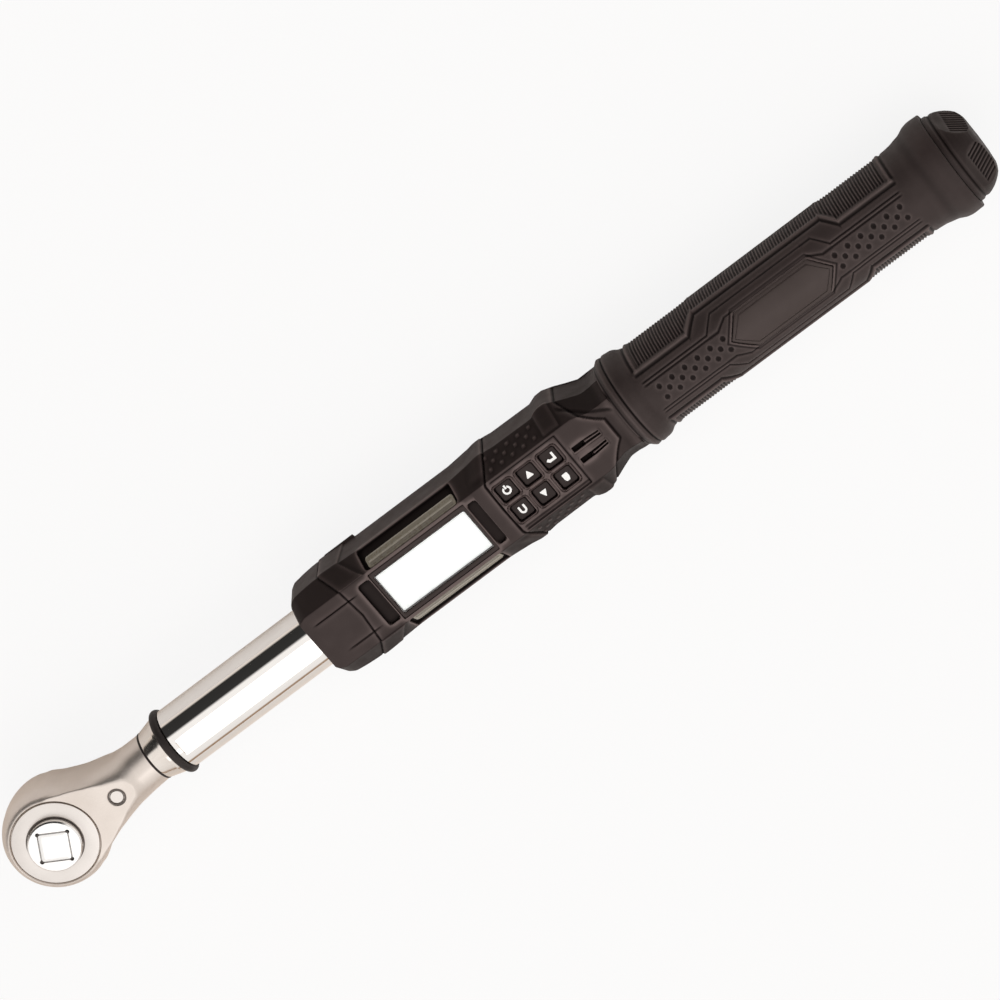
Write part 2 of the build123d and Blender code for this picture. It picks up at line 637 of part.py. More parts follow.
with BuildPart() as housing_top:
    add(shell.part)
    split(bisect_by=Plane.XY.offset(SPLIT_Z), keep=Keep.TOP)
    # screw bosses
    for x in SCREW_X:
        for y in (-SCREW_Y, SCREW_Y):
            with BuildSketch(Plane.XY.offset(SPLIT_Z)):
                with Locations((x, y)):
                    Circle(BOSS_R)
            extrude(amount=BOSS_TOP - SPLIT_Z)
            with BuildSketch(Plane.XY.offset(SPLIT_Z)):
                with Locations((x, y)):
                    Circle(SCREW_R + FIT)
            extrude(amount=SCREW_LENGTH, mode=Mode.SUBTRACT)
    # display window and the sunk pads beside it
    with BuildSketch(Plane.XY.offset(ROOF)):
        with Locations(((WINDOW[0] + WINDOW[1]) / 2, 0)):
            Rectangle(WINDOW[1] - WINDOW[0], 2 * WINDOW_HALF)
    extrude(amount=FACE_TOP - ROOF + 1.0, mode=Mode.SUBTRACT)
    for low, high in PADS:
        with BuildSketch(Plane.XY.offset(FACE_TOP - PAD_DEPTH)):
            with Locations(((low + high) / 2, 0)):
                RectangleRounded(high - low, 2 * PAD_HALF, 1.2)
        extrude(amount=2.0, mode=Mode.SUBTRACT)
    # light bar seats and the recesses below them, on both bevels
    for sign in (-1, 1):
        with BuildSketch(bevel_plane(sign).offset(-BAR_DEPTH)):
            bevel_rectangle(sign, BAR_X, BAR_LOCAL, 1.2)
        extrude(amount=BAR_DEPTH + 1.0, mode=Mode.SUBTRACT)
        with BuildSketch(bevel_plane(sign).offset(-BEVEL_RECESS_DEPTH)):
            bevel_rectangle(sign, BEVEL_RECESS_X, BEVEL_RECESS, 1.0)
        extrude(amount=BEVEL_RECESS_DEPTH + 1.0, mode=Mode.SUBTRACT)
    # key wells
    for x in KEY_X:
        for y in KEY_Y:
            with BuildSketch(Plane.XY.offset(ROOF)):
                with Locations((x, y)):
                    RectangleRounded(KEY_WELL, KEY_WELL, 1.4)
            extrude(amount=3.0, mode=Mode.SUBTRACT)
            with BuildSketch(Plane.XY.offset(FACE_TOP - KEY_FRAME_DEPTH)):
                with Locations((x, y)):
                    RectangleRounded(KEY_FRAME, KEY_FRAME - 0.2, 2.0)
            extrude(amount=1.0, mode=Mode.SUBTRACT)
    # sounder slots
    for y in SLOT_Y:
        with BuildSketch(Plane.XY.offset(FACE_TOP - SLOT_DEPTH)):
            with Locations(((SLOTS_X[0] + SLOTS_X[1]) / 2, y)):
                SlotOverall(SLOTS_X[1] - SLOTS_X[0], SLOT_W)
        extrude(amount=2.0, mode=Mode.SUBTRACT)
save(housing_top.part, "housing_top")

with BuildPart() as housing_bottom:
    add(shell.part)
    split(bisect_by=Plane.XY.offset(SPLIT_Z), keep=Keep.BOTTOM)
    for x in SCREW_X:
        for y in (-SCREW_Y, SCREW_Y):
            with BuildSketch(Plane.XY.offset(UNDER)):
                with Locations((x, y)):
                    Circle(SCREW_R + FREE)
            extrude(amount=SPLIT_Z - UNDER, mode=Mode.SUBTRACT)
            with BuildSketch(Plane.XY.offset(UNDER - 1.0)):
                with Locations((x, y)):
                    Circle(SCREW_HEAD_R + FREE)
            extrude(amount=SCREW_SEAT_Z - UNDER + 1.0, mode=Mode.SUBTRACT)
save(housing_bottom.part, "housing_bottom")

with BuildPart() as housing_screws:
    for x in SCREW_X:
        for y in (-SCREW_Y, SCREW_Y):
            with BuildSketch(Plane.XY.offset(SCREW_SEAT_Z - SCREW_HEAD_T)):
                with Locations((x, y)):
                    Circle(SCREW_HEAD_R)
            extrude(amount=SCREW_HEAD_T)
            with BuildSketch(Plane.XY.offset(SCREW_SEAT_Z)):
                with Locations((x, y)):
                    Circle(SCREW_R)
            extrude(amount=SCREW_LENGTH)
            with BuildSketch(Plane.XY.offset(SCREW_SEAT_Z - SCREW_HEAD_T)):
                with Locations((x, y)):
                    Rectangle(3.4, 0.6)
                    Rectangle(0.6, 3.4)
            extrude(amount=0.9, mode=Mode.SUBTRACT)
save(housing_screws.part, "housing_screws")

# ---------------------------------------------------------------- display
with BuildPart() as display_frame:
    with BuildSketch(Plane.XY.offset(ROOF)):
        with Locations(((WINDOW[0] + WINDOW[1]) / 2, 0)):
            Rectangle(WINDOW[1] - WINDOW[0], 2 * WINDOW_HALF)
    extrude(amount=FACE_TOP - ROOF)
    lens_mid = (LENS[0] + LENS[1]) / 2
    with BuildSketch(Plane.XY.offset(ROOF)):
        with Locations((lens_mid, 0)):
            Rectangle(LENS[1] - LENS[0] - 2 * LENS_LEDGE, 2 * (LENS_HALF - LENS_LEDGE))
    extrude(amount=FACE_TOP, mode=Mode.SUBTRACT)
    with BuildSketch(Plane.XY.offset(LENS_TOP - LENS_T)):
        with Locations((lens_mid, 0)):
            Rectangle(LENS[1] - LENS[0], 2 * LENS_HALF)
    extrude(amount=FACE_TOP, mode=Mode.SUBTRACT)
save(display_frame.part, "display_frame")
save(block(LENS, (-LENS_HALF, LENS_HALF), (LENS_TOP - LENS_T, LENS_TOP)), "display_lens")
save(block(LCD, (-LCD_HALF, LCD_HALF), (BOARD_TOP, ROOF)), "lcd_module")

with BuildPart() as light_bars:
    for sign in (-1, 1):
        with BuildSketch(bevel_plane(sign).offset(-BAR_DEPTH)):
            bevel_rectangle(sign, BAR_X, BAR_LOCAL, 1.2)
        extrude(amount=BAR_DEPTH)
save(light_bars.part, "light_bars")

# ---------------------------------------------------------------- electronics
save(block(BOARD, (-BOARD_HALF, BOARD_HALF), (BOARD_TOP - BOARD_T, BOARD_TOP)), "main_board")
with BuildPart() as board_chips:
    for x, y, length, width in CHIPS:
        with Locations((x, y, BOARD_TOP - BOARD_T - CHIP_T / 2)):
            Box(length, width, CHIP_T)
save(board_chips.part, "board_chips")
save(rod_z(BUZZER_X, 0, (BOARD_TOP, BOARD_TOP + BUZZER_H), BUZZER_R), "buzzer")
with BuildPart() as key_switches:
    for x in KEY_X:
        for y in KEY_Y:
            with Locations((x, y, BOARD_TOP + SWITCH[1] / 2)):
                Box(SWITCH[0], SWITCH[0], SWITCH[1])
save(key_switches.part, "key_switches")


def key(x, y):
    with BuildPart() as cap:
        with BuildSketch(Plane.XY.offset(ROOF)):
            with Locations((x, y)):
                RectangleRounded(KEY_CAP, KEY_CAP, 1.2)
        extrude(amount=KEY_TOP - ROOF)
        with BuildSketch(Plane.XY.offset(ROOF - KEY_FLANGE_T)):
            with Locations((x, y)):
                RectangleRounded(KEY_FLANGE, KEY_FLANGE, 1.2)
        extrude(amount=KEY_FLANGE_T)
        with BuildSketch(Plane.XY.offset(KEY_STEM_LOW)):
            with Locations((x, y)):
                Circle(KEY_STEM_R)
        extrude(amount=ROOF - KEY_FLANGE_T - KEY_STEM_LOW)
    return cap.part


KEY_NAMES = (("key_power", "key_up", "key_enter"), ("key_units", "key_down", "key_memory"))
for y, row in zip(KEY_Y, KEY_NAMES):
    for x, name in zip(KEY_X, row):
        save(key(x, y), name)

# ---------------------------------------------------------------- spine and battery sleeve
save(block(SPINE, (-SPINE_HALF, SPINE_HALF), SPINE_Z), "spine_bar")

with BuildPart() as battery_tube:
    with BuildSketch(Plane.YZ.offset(SLEEVE_START)):
        Circle(SLEEVE_R)
    extrude(amount=SLEEVE_END - SLEEVE_START)
    with BuildSketch(Plane.YZ.offset(SLEEVE_FRONT)):
        Circle(SLEEVE_BORE)
    extrude(amount=SLEEVE_END - SLEEVE_FRONT, mode=Mode.SUBTRACT)
    with BuildSketch(Plane.YZ.offset(SPIGOT_START - FREE)):
        Circle(SPIGOT_R + FREE)
    extrude(amount=SLEEVE_END - SPIGOT_START + FREE, mode=Mode.SUBTRACT)
    with BuildSketch(Plane.YZ.offset(SLEEVE_START)):
        with Locations((0, (SPINE_Z[0] + SPINE_Z[1]) / 2)):
            Rectangle(2 * SPINE_HALF, SPINE_Z[1] - SPINE_Z[0])
    extrude(amount=SPINE[1] - SLEEVE_START, mode=Mode.SUBTRACT)
save(battery_tube.part, "battery_tube")

for number in range(CELLS):
    start = CELLS_START + number * CELL_LENGTH
    cell = turned([(start, 0), (start, NUB_R), (start + NUB, NUB_R), (start + NUB, CELL_R - 0.4),
                   (start + NUB + 0.4, CELL_R), (start + CELL_LENGTH, CELL_R), (start + CELL_LENGTH, 0)])
    save(cell, f"battery_{number + 1}")
save(rod_x((SLEEVE_FRONT, CELLS_START), 6.0), "front_contact")

# ---------------------------------------------------------------- grip
with BuildPart() as handle_grip:
    with BuildSketch(Plane.XZ):
        with BuildLine():
            Polyline((GRIP_START, SLEEVE_R + FIT), *GRIP, (CAP_START, SLEEVE_R + FIT), close=True)
        make_face()
    revolve(axis=Axis.X)
    # plaque seat
    with BuildSketch(Plane.XY.offset(PLAQUE_TOP - PLAQUE_T)):
        Polygon((PLAQUE_TIPS[0], 0), (PLAQUE_CORNERS[0], PLAQUE_HALF), (PLAQUE_CORNERS[1], PLAQUE_HALF),
                (PLAQUE_TIPS[1], 0), (PLAQUE_CORNERS[1], -PLAQUE_HALF), (PLAQUE_CORNERS[0], -PLAQUE_HALF), align=None)
    extrude(amount=10.0, mode=Mode.SUBTRACT)
    # ribbed fields on both sides
    for sign in (-1, 1):
        for start, end, middle, half, radius in RIB_FIELDS:
            count = int((end - start) / RIB_PITCH)
            with BuildSketch(Plane.XZ.offset(-sign * (radius - RIB_DEPTH))):
                with Locations(((start + end) / 2, middle)):
                    with GridLocations(RIB_PITCH, 1.0, count, 1):
                        Rectangle(RIB_GROOVE, 2 * half)
            extrude(amount=-sign * 3.0, mode=Mode.SUBTRACT)
    # rows of dimples before and behind the plaque
    for start in DOT_FIELDS:
        for row, count, shift in ((-1, 6, 0.0), (0, 5, DOT_PITCH / 2), (1, 6, 0.0)):
            y = row * DOT_ROW_Y
            floor = math.sqrt(GRIP[7][1] ** 2 - y ** 2) - DOT_DEPTH
            with BuildSketch(Plane.XY.offset(floor)):
                with Locations((start + shift + (count - 1) * DOT_PITCH / 2, y)):
                    with GridLocations(DOT_PITCH, 1.0, count, 1):
                        Circle(DOT_R)
            extrude(amount=3.0, mode=Mode.SUBTRACT)
save(handle_grip.part, "handle_grip")

with BuildPart() as grip_plaque:
    with BuildSketch(Plane.XY.offset(PLAQUE_TOP - PLAQUE_T)):
        Polygon((PLAQUE_TIPS[0], 0), (PLAQUE_CORNERS[0], PLAQUE_HALF), (PLAQUE_CORNERS[1], PLAQUE_HALF),
                (PLAQUE_TIPS[1], 0), (PLAQUE_CORNERS[1], -PLAQUE_HALF), (PLAQUE_CORNERS[0], -PLAQUE_HALF), align=None)
        offset(amount=-0.15)
    extrude(amount=PLAQUE_T)
    with BuildSketch(Plane.YZ.offset(PLAQUE_TIPS[0])):
        Circle(PLAQUE_TOP + 0.2)
    extrude(amount=PLAQUE_TIPS[1] - PLAQUE_TIPS[0], mode=Mode.INTERSECT)
save(grip_plaque.part, "grip_plaque")

# ---------------------------------------------------------------- end cap
with BuildPart() as end_cap:
    with BuildSketch(Plane.XZ):
        with BuildLine():
            Polyline((CAP_FLOOR, 0), (CAP_FLOOR, SPIGOT_BORE), (SPIGOT_START, SPIGOT_BORE), (SPIGOT_START, SPIGOT_R),
                     (CAP_START, SPIGOT_R), *[(CAP_START + along, radius) for along, radius in CAP_OUTLINE],
                     (CAP_END, 0), close=True)
        make_face()
    revolve(axis=Axis.X)
    # fine grip grooves across the end
    with BuildSketch(Plane.YZ.offset(CAP_END - CAP_RIB_DEPTH)):
        with GridLocations(CAP_RIB_PITCH, 1.0, CAP_RIBS, 1):
            Rectangle(CAP_RIB_W, CAP_RIB_LENGTH)
    extrude(amount=2.0, mode=Mode.SUBTRACT)
save(end_cap.part, "end_cap")
save(rod_x((CAP_FLOOR - CONTACT_T, CAP_FLOOR), SPIGOT_BORE - 0.6), "cap_contact")

CONTACT_WIRE = 0.45
contact_length = CONTACT_ROOM - CONTACT_T - 2 * CONTACT_WIRE
contact_place = Plane(origin=(CELLS_END + CONTACT_WIRE, 0, 0), z_dir=(1, 0, 0)).location
save(coil(5.0, CONTACT_WIRE, 2.4, contact_length, contact_place), "cap_contact_spring")

with BuildPart() as cap_o_ring:
    with BuildSketch(Plane.XZ):
        with Locations((CAP_START - CAP_RING_R, SPIGOT_R + FIT + CAP_RING_R)):
            Circle(CAP_RING_R)
    revolve(axis=Axis.X)
save(cap_o_ring.part, "cap_o_ring")
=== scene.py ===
"""Looks of an electronic torque wrench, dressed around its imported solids.

Lengths in the classes are millimetres in the tool's own frame: +X runs from the head to
the end cap, +Z out of the display face. The mesh builder turns them into metres.
"""

import json
import logging
import math
from dataclasses import dataclass, field
from enum import Enum

import bpy
import numpy as np
from mathutils import Matrix

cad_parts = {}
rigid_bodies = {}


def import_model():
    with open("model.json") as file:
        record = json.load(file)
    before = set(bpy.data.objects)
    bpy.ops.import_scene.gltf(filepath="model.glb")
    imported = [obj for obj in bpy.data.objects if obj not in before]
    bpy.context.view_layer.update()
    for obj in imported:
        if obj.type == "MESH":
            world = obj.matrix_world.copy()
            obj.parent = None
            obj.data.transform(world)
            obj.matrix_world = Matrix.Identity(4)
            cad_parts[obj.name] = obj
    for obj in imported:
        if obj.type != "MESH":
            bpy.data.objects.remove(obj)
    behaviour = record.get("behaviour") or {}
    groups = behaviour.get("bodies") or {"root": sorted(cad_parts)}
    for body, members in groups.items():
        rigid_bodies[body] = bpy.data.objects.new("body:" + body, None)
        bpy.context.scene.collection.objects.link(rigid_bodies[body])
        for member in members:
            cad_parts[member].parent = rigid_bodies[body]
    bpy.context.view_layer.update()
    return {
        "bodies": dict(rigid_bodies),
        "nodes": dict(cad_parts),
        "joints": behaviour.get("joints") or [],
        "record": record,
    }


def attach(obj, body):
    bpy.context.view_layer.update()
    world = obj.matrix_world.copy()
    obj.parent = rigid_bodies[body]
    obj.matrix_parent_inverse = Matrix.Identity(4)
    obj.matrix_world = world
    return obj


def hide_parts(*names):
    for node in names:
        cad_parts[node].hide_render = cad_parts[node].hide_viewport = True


MM = 0.001
LOG = logging.getLogger("torque_wrench")
SIDE_SHARE = 0.45
NEARLY_STRAIGHT = math.radians(88)
AXIS_R = 0.02
PLATE_RINGS = (0.25, 0.5, 0.75, 0.97)
DEPTH_SHARE = 0.25
HOLLOW_RANGE = (-0.25, 0.75)
# Levels of the painted light over the hollow measure: painted highlight on ridges, painted shade in grooves.
PAINTED_LIGHT_STOPS = ((0.0, 1.0), (0.25, 0.42), (0.5, 0.17), (1.0, 0.05))


# ------------------------------------------------------------------ curves and fields
def smoothstep(low: float, high: float, value: np.ndarray) -> np.ndarray:
    """Rises from 0 at low to 1 at high along 3t^2 - 2t^3.

    Args:
        low: where the rise starts.
        high: where it ends.
        value: sample positions.

    Returns:
        The eased fraction at each position.
    """
    t = np.clip((np.asarray(value, float) - low) / (high - low), 0.0, 1.0)
    return t * t * (3.0 - 2.0 * t)


def bell(distance: np.ndarray, width: float) -> np.ndarray:
    """Gaussian bell exp(-(distance / width)^2)."""
    return np.exp(-(np.asarray(distance, float) / width) ** 2)


def window(low: float, high: float, value: np.ndarray, ease: float) -> np.ndarray:
    """1 between low and high, easing to 0 over the given length outside each end."""
    return smoothstep(low - ease, low, value) * (1.0 - smoothstep(high, high + ease, value))

def sunk(distance: np.ndarray, depth: float, ease: float = 0.12) -> np.ndarray:
    """Depth of a flat recess with steep walls: full inside its outline, 0 outside."""
    return depth * (1.0 - smoothstep(-ease, ease, distance))


def dome(distance: np.ndarray, radius: float, height: float) -> np.ndarray:
    """Height h sqrt(1 - (d / r)^2) of a round bump or dimple, 0 beyond its radius."""
    return height * np.sqrt(np.maximum(1 - (distance / radius) ** 2, 0.0))


def soft_curve(x: np.ndarray, xs: np.ndarray, ys: np.ndarray) -> np.ndarray:
    """Cubic Hermite curve through points, with slopes that never overshoot.

    Each inner slope is the harmonic mean of its two chords where they agree in sign, and 0
    where they don't.

    Args:
        x: sample positions.
        xs: rising knots.
        ys: values at the knots.

    Returns:
        The curve's values at x.
    """
    xs = np.asarray(xs, float)
    ys = np.asarray(ys, float)
    step = np.diff(xs)
    chord = np.diff(ys) / step
    slope = np.zeros_like(ys)
    product = chord[:-1] * chord[1:]
    total = np.where(np.abs(chord[:-1] + chord[1:]) < 1e-9, 1.0, chord[:-1] + chord[1:])
    slope[1:-1] = np.where(product > 0, 2.0 * product / total, 0.0)
    slope[0] = chord[0]
    slope[-1] = chord[-1]
    x = np.clip(x, xs[0], xs[-1])
    k = np.clip(np.searchsorted(xs, x, side="right") - 1, 0, len(xs) - 2)
    t = (x - xs[k]) / step[k]
    h = step[k]
    return ((2 * t ** 3 - 3 * t ** 2 + 1) * ys[k] + (t ** 3 - 2 * t ** 2 + t) * h * slope[k]
            + (3 * t ** 2 - 2 * t ** 3) * ys[k + 1] + (t ** 3 - t ** 2) * h * slope[k + 1])


def rounded_square(u: np.ndarray, v: np.ndarray, half_u: float, half_v: float,
                   corner: float) -> np.ndarray:
    """Signed distance to a rounded rectangle about 0,0: negative inside it.

    Args:
        u: places along its first side.
        v: places along its second side.
        half_u: half its length along u.
        half_v: half its length along v.
        corner: radius of its corners.

    Returns:
        The distance at each place.
    """
    qu = np.abs(u) - (half_u - corner)
    qv = np.abs(v) - (half_v - corner)
    outside = np.hypot(np.maximum(qu, 0.0), np.maximum(qv, 0.0))
    return outside + np.minimum(np.maximum(qu, qv), 0.0) - corner


def ruled(low: float, high: float, step: float, edges: tuple = (), gap: float = 0.12) -> np.ndarray:
    """Even grid lines with a close pair added at each edge, so that steps stay crisp.

    Args:
        low: first line.
        high: last line.
        step: spacing of the even lines.
        edges: positions of sharp steps.
        gap: half spacing of the pair at an edge.

    Returns:
        Sorted line positions.
    """
    count = max(2, int(round((high - low) / step)) + 1)
    even = np.linspace(low, high, count)
    marks = np.array([e + d for e in edges for d in (-gap, gap) if low < e + d < high])
    if len(marks) == 0:
        return even
    near = np.min(np.abs(even[:, None] - marks[None, :]), axis=1)
    keep = (near > gap * 0.8) | (even == low) | (even == high)
    return np.unique(np.concatenate([even[keep], marks]))


def rounded_outline(points: list, radius: float, steps: int = 5) -> np.ndarray:
    """Closed outline whose corners are turned into arcs.

    Each corner c becomes the parabola (1-t)^2 a + 2t(1-t) c + t^2 b, tangent to its two
    sides. Its ends a and b lie where an arc of the radius would end, at most 0.45 of a side
    away from the corner.

    Args:
        points: corners in order.
        radius: arc radius, in the points' own unit.
        steps: segments in each arc.

    Returns:
        The outline's points as an (n, 2) array.
    """
    corners = np.asarray(points, float)
    result = []
    for before, here, after in zip(np.roll(corners, 1, 0), corners, np.roll(corners, -1, 0)):
        a = before - here
        b = after - here
        la = np.linalg.norm(a)
        lb = np.linalg.norm(b)
        half = 0.5 * math.acos(float(np.clip(a @ b / (la * lb), -1, 1)))
        reach = min(radius / max(math.tan(half), 1e-6), SIDE_SHARE * la, SIDE_SHARE * lb)
        if half > NEARLY_STRAIGHT or radius <= 0:
            result.append(here)
            continue
        start = here + a / la * reach
        end = here + b / lb * reach
        t = np.linspace(0, 1, steps + 1)[:, None]
        result.extend((1 - t) ** 2 * start + 2 * t * (1 - t) * here + t ** 2 * end)
    return np.array(result)


def corners_of(low_u: float, high_u: float, low_v: float, high_v: float) -> list:
    """Four corners of a rectangle, in order."""
    return [(low_u, low_v), (high_u, low_v), (high_u, high_v), (low_u, high_v)]


def hoop(x: np.ndarray, radius: np.ndarray, angle: np.ndarray) -> np.ndarray:
    """Points (x, r sin a, r cos a) on circles about X, from the top towards +Y."""
    return np.stack(np.broadcast_arrays(x, radius * np.sin(angle), radius * np.cos(angle)), -1)


def picked(table: np.ndarray, index: np.ndarray) -> np.ndarray:
    """The entry of each row of a table that an index names."""
    return np.take_along_axis(table, index[..., None], -1)[..., 0]


# ------------------------------------------------------------------ meshes
def grid_quads(rows: int, cols: int, wrap_rows: bool, wrap_cols: bool, first: int = 0) -> np.ndarray:
    """Quads of a grid of points stored row by row.

    Args:
        rows: number of rows.
        cols: number of columns.
        wrap_rows: whether the last row joins the first.
        wrap_cols: whether the last column joins the first.
        first: index of the grid's first point.

    Returns:
        An (n, 4) array of point indices.
    """
    i = np.arange(rows if wrap_rows else rows - 1)
    j = np.arange(cols if wrap_cols else cols - 1)
    i, j = np.meshgrid(i, j, indexing="ij")
    i2 = (i + 1) % rows
    j2 = (j + 1) % cols
    quads = np.stack([i * cols + j, i2 * cols + j, i2 * cols + j2, i * cols + j2], axis=-1)
    return quads.reshape(-1, 4) + first


def volume_of(points: np.ndarray, quads: np.ndarray) -> float:
    """Signed volume under a set of quads, by the sum of their tetrahedra to 0,0,0.

    Args:
        points: (n, 3) points.
        quads: (m, 4) indices of the faces' corners.

    Returns:
        The volume, positive where the faces point outwards.
    """
    a, b, c, d = (points[quads[:, k]] for k in range(4))
    first = np.einsum("ij,ij->i", a, np.cross(b, c))
    second = np.einsum("ij,ij->i", a, np.cross(c, d))
    return float((first + second).sum() / 6.0)


@dataclass
class Surface:
    """Points and faces of one closed surface, in millimetres."""

    points: np.ndarray
    quads: np.ndarray
    caps: list = field(default_factory=list)

    def turned_out(self) -> "Surface":
        """The same surface with its faces pointing outwards.

        Returns:
            This surface, or the same points with every face turned over.
        """
        centre = self.points.mean(axis=0)
        fan = [np.array([[c[0], c[k], c[k + 1], c[k + 1]] for k in range(1, len(c) - 1)])
               for c in self.caps]
        every = np.concatenate([self.quads] + fan) if fan else self.quads
        if volume_of(self.points - centre, every) >= 0:
            return self
        return Surface(self.points, self.quads[:, ::-1], [c[::-1] for c in self.caps])

    def joined(self, other: "Surface") -> "Surface":
        """This surface and another one as one set.

        Args:
            other: the surface to add.

        Returns:
            Both surfaces' points and faces.
        """
        shift = len(self.points)
        caps = self.caps + [[i + shift for i in c] for c in other.caps]
        return Surface(np.concatenate([self.points, other.points]),
                       np.concatenate([self.quads, other.quads + shift]), caps)


def carried(grid: np.ndarray, closed_rows: bool = False) -> Surface:
    """Surface of a closed profile carried along a path.

    Row i holds the profile at step i of the path. The columns always close on themselves.
    Open rows get a flat face at each end, and closed rows join the last step to the first.

    Args:
        grid: (rows, columns, 3) points.
        closed_rows: whether the path closes on itself.

    Returns:
        The closed surface, facing outwards.
    """
    rows, cols, _ = grid.shape
    quads = grid_quads(rows, cols, closed_rows, True)
    count = rows * cols
    caps = [] if closed_rows else [list(range(cols)), list(range(count - 1, count - cols - 1, -1))]
    return Surface(grid.reshape(-1, 3), quads, caps).turned_out()


def shell(outer: np.ndarray, inner: np.ndarray) -> Surface:
    """Closed wall between two grids of the same size, joined round their four borders.

    Args:
        outer: (rows, columns, 3) points of the outside.
        inner: (rows, columns, 3) points of the inside.

    Returns:
        The closed surface, facing outwards.
    """
    rows, cols, _ = outer.shape
    count = rows * cols
    index = np.arange(count).reshape(rows, cols)
    border = np.concatenate([index[0, :-1], index[:-1, -1], index[-1, :0:-1], index[:0:-1, 0]])
    after = np.roll(border, -1)
    sides = np.stack([border, after, after + count, border + count], axis=1)
    top = grid_quads(rows, cols, False, False)
    low = grid_quads(rows, cols, False, False, count)[:, ::-1]
    points = np.concatenate([outer.reshape(-1, 3), inner.reshape(-1, 3)])
    return Surface(points, np.concatenate([top, low, sides])).turned_out()


def lathe(profile: np.ndarray, axis: str = "X", segments: int = 128, place: tuple = (0, 0, 0)) -> Surface:
    """Surface of revolution: each profile point (along, radius) swept round the axis.

    A profile that closes on itself gives a ring. One that starts and ends on the axis gives
    a solid, and its two ends are closed by small flat faces.

    Args:
        profile: (n, 2) points, along the axis and away from it.
        axis: "X" or "Z".
        segments: steps round the axis.
        place: where the axis starts.

    Returns:
        The closed surface.
    """
    profile = np.asarray(profile, float).copy()
    solid = profile[0, 1] < 1e-6 and profile[-1, 1] < 1e-6
    profile[:, 1] = np.maximum(profile[:, 1], AXIS_R)
    turn = np.linspace(0, 2 * math.pi, segments, endpoint=False)
    along = np.repeat(profile[:, :1], segments, axis=1)
    one = profile[:, 1:] * np.cos(turn)[None, :]
    two = profile[:, 1:] * np.sin(turn)[None, :]
    parts = [along, one, two] if axis == "X" else [one, two, along]
    grid = np.stack(parts, axis=-1) + np.asarray(place, float)
    return carried(grid, closed_rows=not solid)


def plate(outline: np.ndarray, low: float, high: float, edge: float, dish: float = 0.0) -> Surface:
    """Flat plate with a rounded upper edge, from an outline in X and Y.

    The outline is shrunk towards its middle along a quarter circle at the top edge, and the
    top may be dished by a parabola.

    Args:
        outline: (n, 2) points.
        low: underside.
        high: top.
        edge: radius of the upper edge.
        dish: depth of the dish at the middle of the top.

    Returns:
        The closed surface.
    """
    outline = np.asarray(outline, float)
    middle = outline.mean(axis=0)
    reach = np.abs(outline - middle).max(axis=0)
    turn = np.linspace(0, math.pi / 2, 6)
    steps = [(0.0, low)]
    steps += [(edge * (1 - math.cos(t)), high - edge * (1 - math.sin(t))) for t in turn]
    steps += [(edge + (min(reach) - edge) * f, high - dish * (1 - (1 - f) ** 2)) for f in PLATE_RINGS]
    rows = []
    for inset, z in steps:
        scale = (reach - inset) / reach
        ring = middle + (outline - middle) * scale
        rows.append(np.column_stack([ring, np.full(len(ring), z)]))
    return carried(np.stack(rows))


def prism(outline: np.ndarray, low: float, high: float) -> Surface:
    """Straight prism on an outline in X and Y.

    Args:
        outline: (n, 2) points.
        low: underside.
        high: top.

    Returns:
        The closed surface.
    """
    outline = np.asarray(outline, float)
    rows = [np.column_stack([outline, np.full(len(outline), z)]) for z in (low, high)]
    return carried(np.stack(rows))


def seated(surface: Surface, origin: np.ndarray, u: np.ndarray, v: np.ndarray,
           w: np.ndarray) -> Surface:
    """A surface drawn at 0,0,0 carried to a place: origin + x u + y v + z w.

    Args:
        surface: the drawn surface.
        origin: where its 0,0,0 goes.
        u: direction of its X axis.
        v: direction of its Y axis.
        w: direction of its Z axis.

    Returns:
        The carried surface, facing outwards.
    """
    points = (np.asarray(origin) + surface.points[:, :1] * u + surface.points[:, 1:2] * v
              + surface.points[:, 2:] * w)
    return Surface(points, surface.quads, surface.caps).turned_out()


def mesh_object(name: str, surface: Surface, sharp: float = 32.0) -> bpy.types.Object:
    """Blender object of a surface, smooth except across edges sharper than an angle.

    Args:
        name: the object's name.
        surface: points and faces in millimetres.
        sharp: angle in degrees from which an edge stays sharp.

    Returns:
        The new object, at the origin, with its place in its mesh.
    """
    mesh = bpy.data.meshes.new(name)
    faces = surface.quads.tolist() + [list(c) for c in surface.caps]
    mesh.from_pydata((surface.points * MM).tolist(), [], faces)
    mesh.polygons.foreach_set("use_smooth", np.ones(len(mesh.polygons), bool))
    mesh.set_sharp_from_angle(angle=math.radians(sharp))
    mesh.update()
    made = bpy.data.objects.new(name, mesh)
    bpy.context.scene.collection.objects.link(made)
    return made


def hollows(depth: np.ndarray, along: np.ndarray, across: np.ndarray, reach: float = 1.5) -> np.ndarray:
    """How far each point of a relief lies under its surroundings.

    The relief's mean round a point is taken with Gaussian weights, along the rows and then
    along the columns, each weight times its grid step. Narrow grooves and the feet of steps
    come out above 0, ridges and lips below it. A quarter of the plain depth is added.

    Args:
        depth: (rows, columns) depths under the plain surface, in millimetres.
        along: positions of the rows.
        across: positions of the columns.
        reach: width of the bell, in millimetres.

    Returns:
        The hollow measure, one value for each point.
    """
    mean = depth
    for places, axis in ((along, 0), (across, 1)):
        weights = bell(places[:, None] - places[None, :], reach) * np.gradient(places)[None, :]
        weights = weights / weights.sum(axis=1, keepdims=True)
        mean = np.tensordot(weights, mean, axes=(1, axis))
        if axis == 1:
            mean = mean.T
    return depth - mean + DEPTH_SHARE * np.maximum(depth, 0.0)


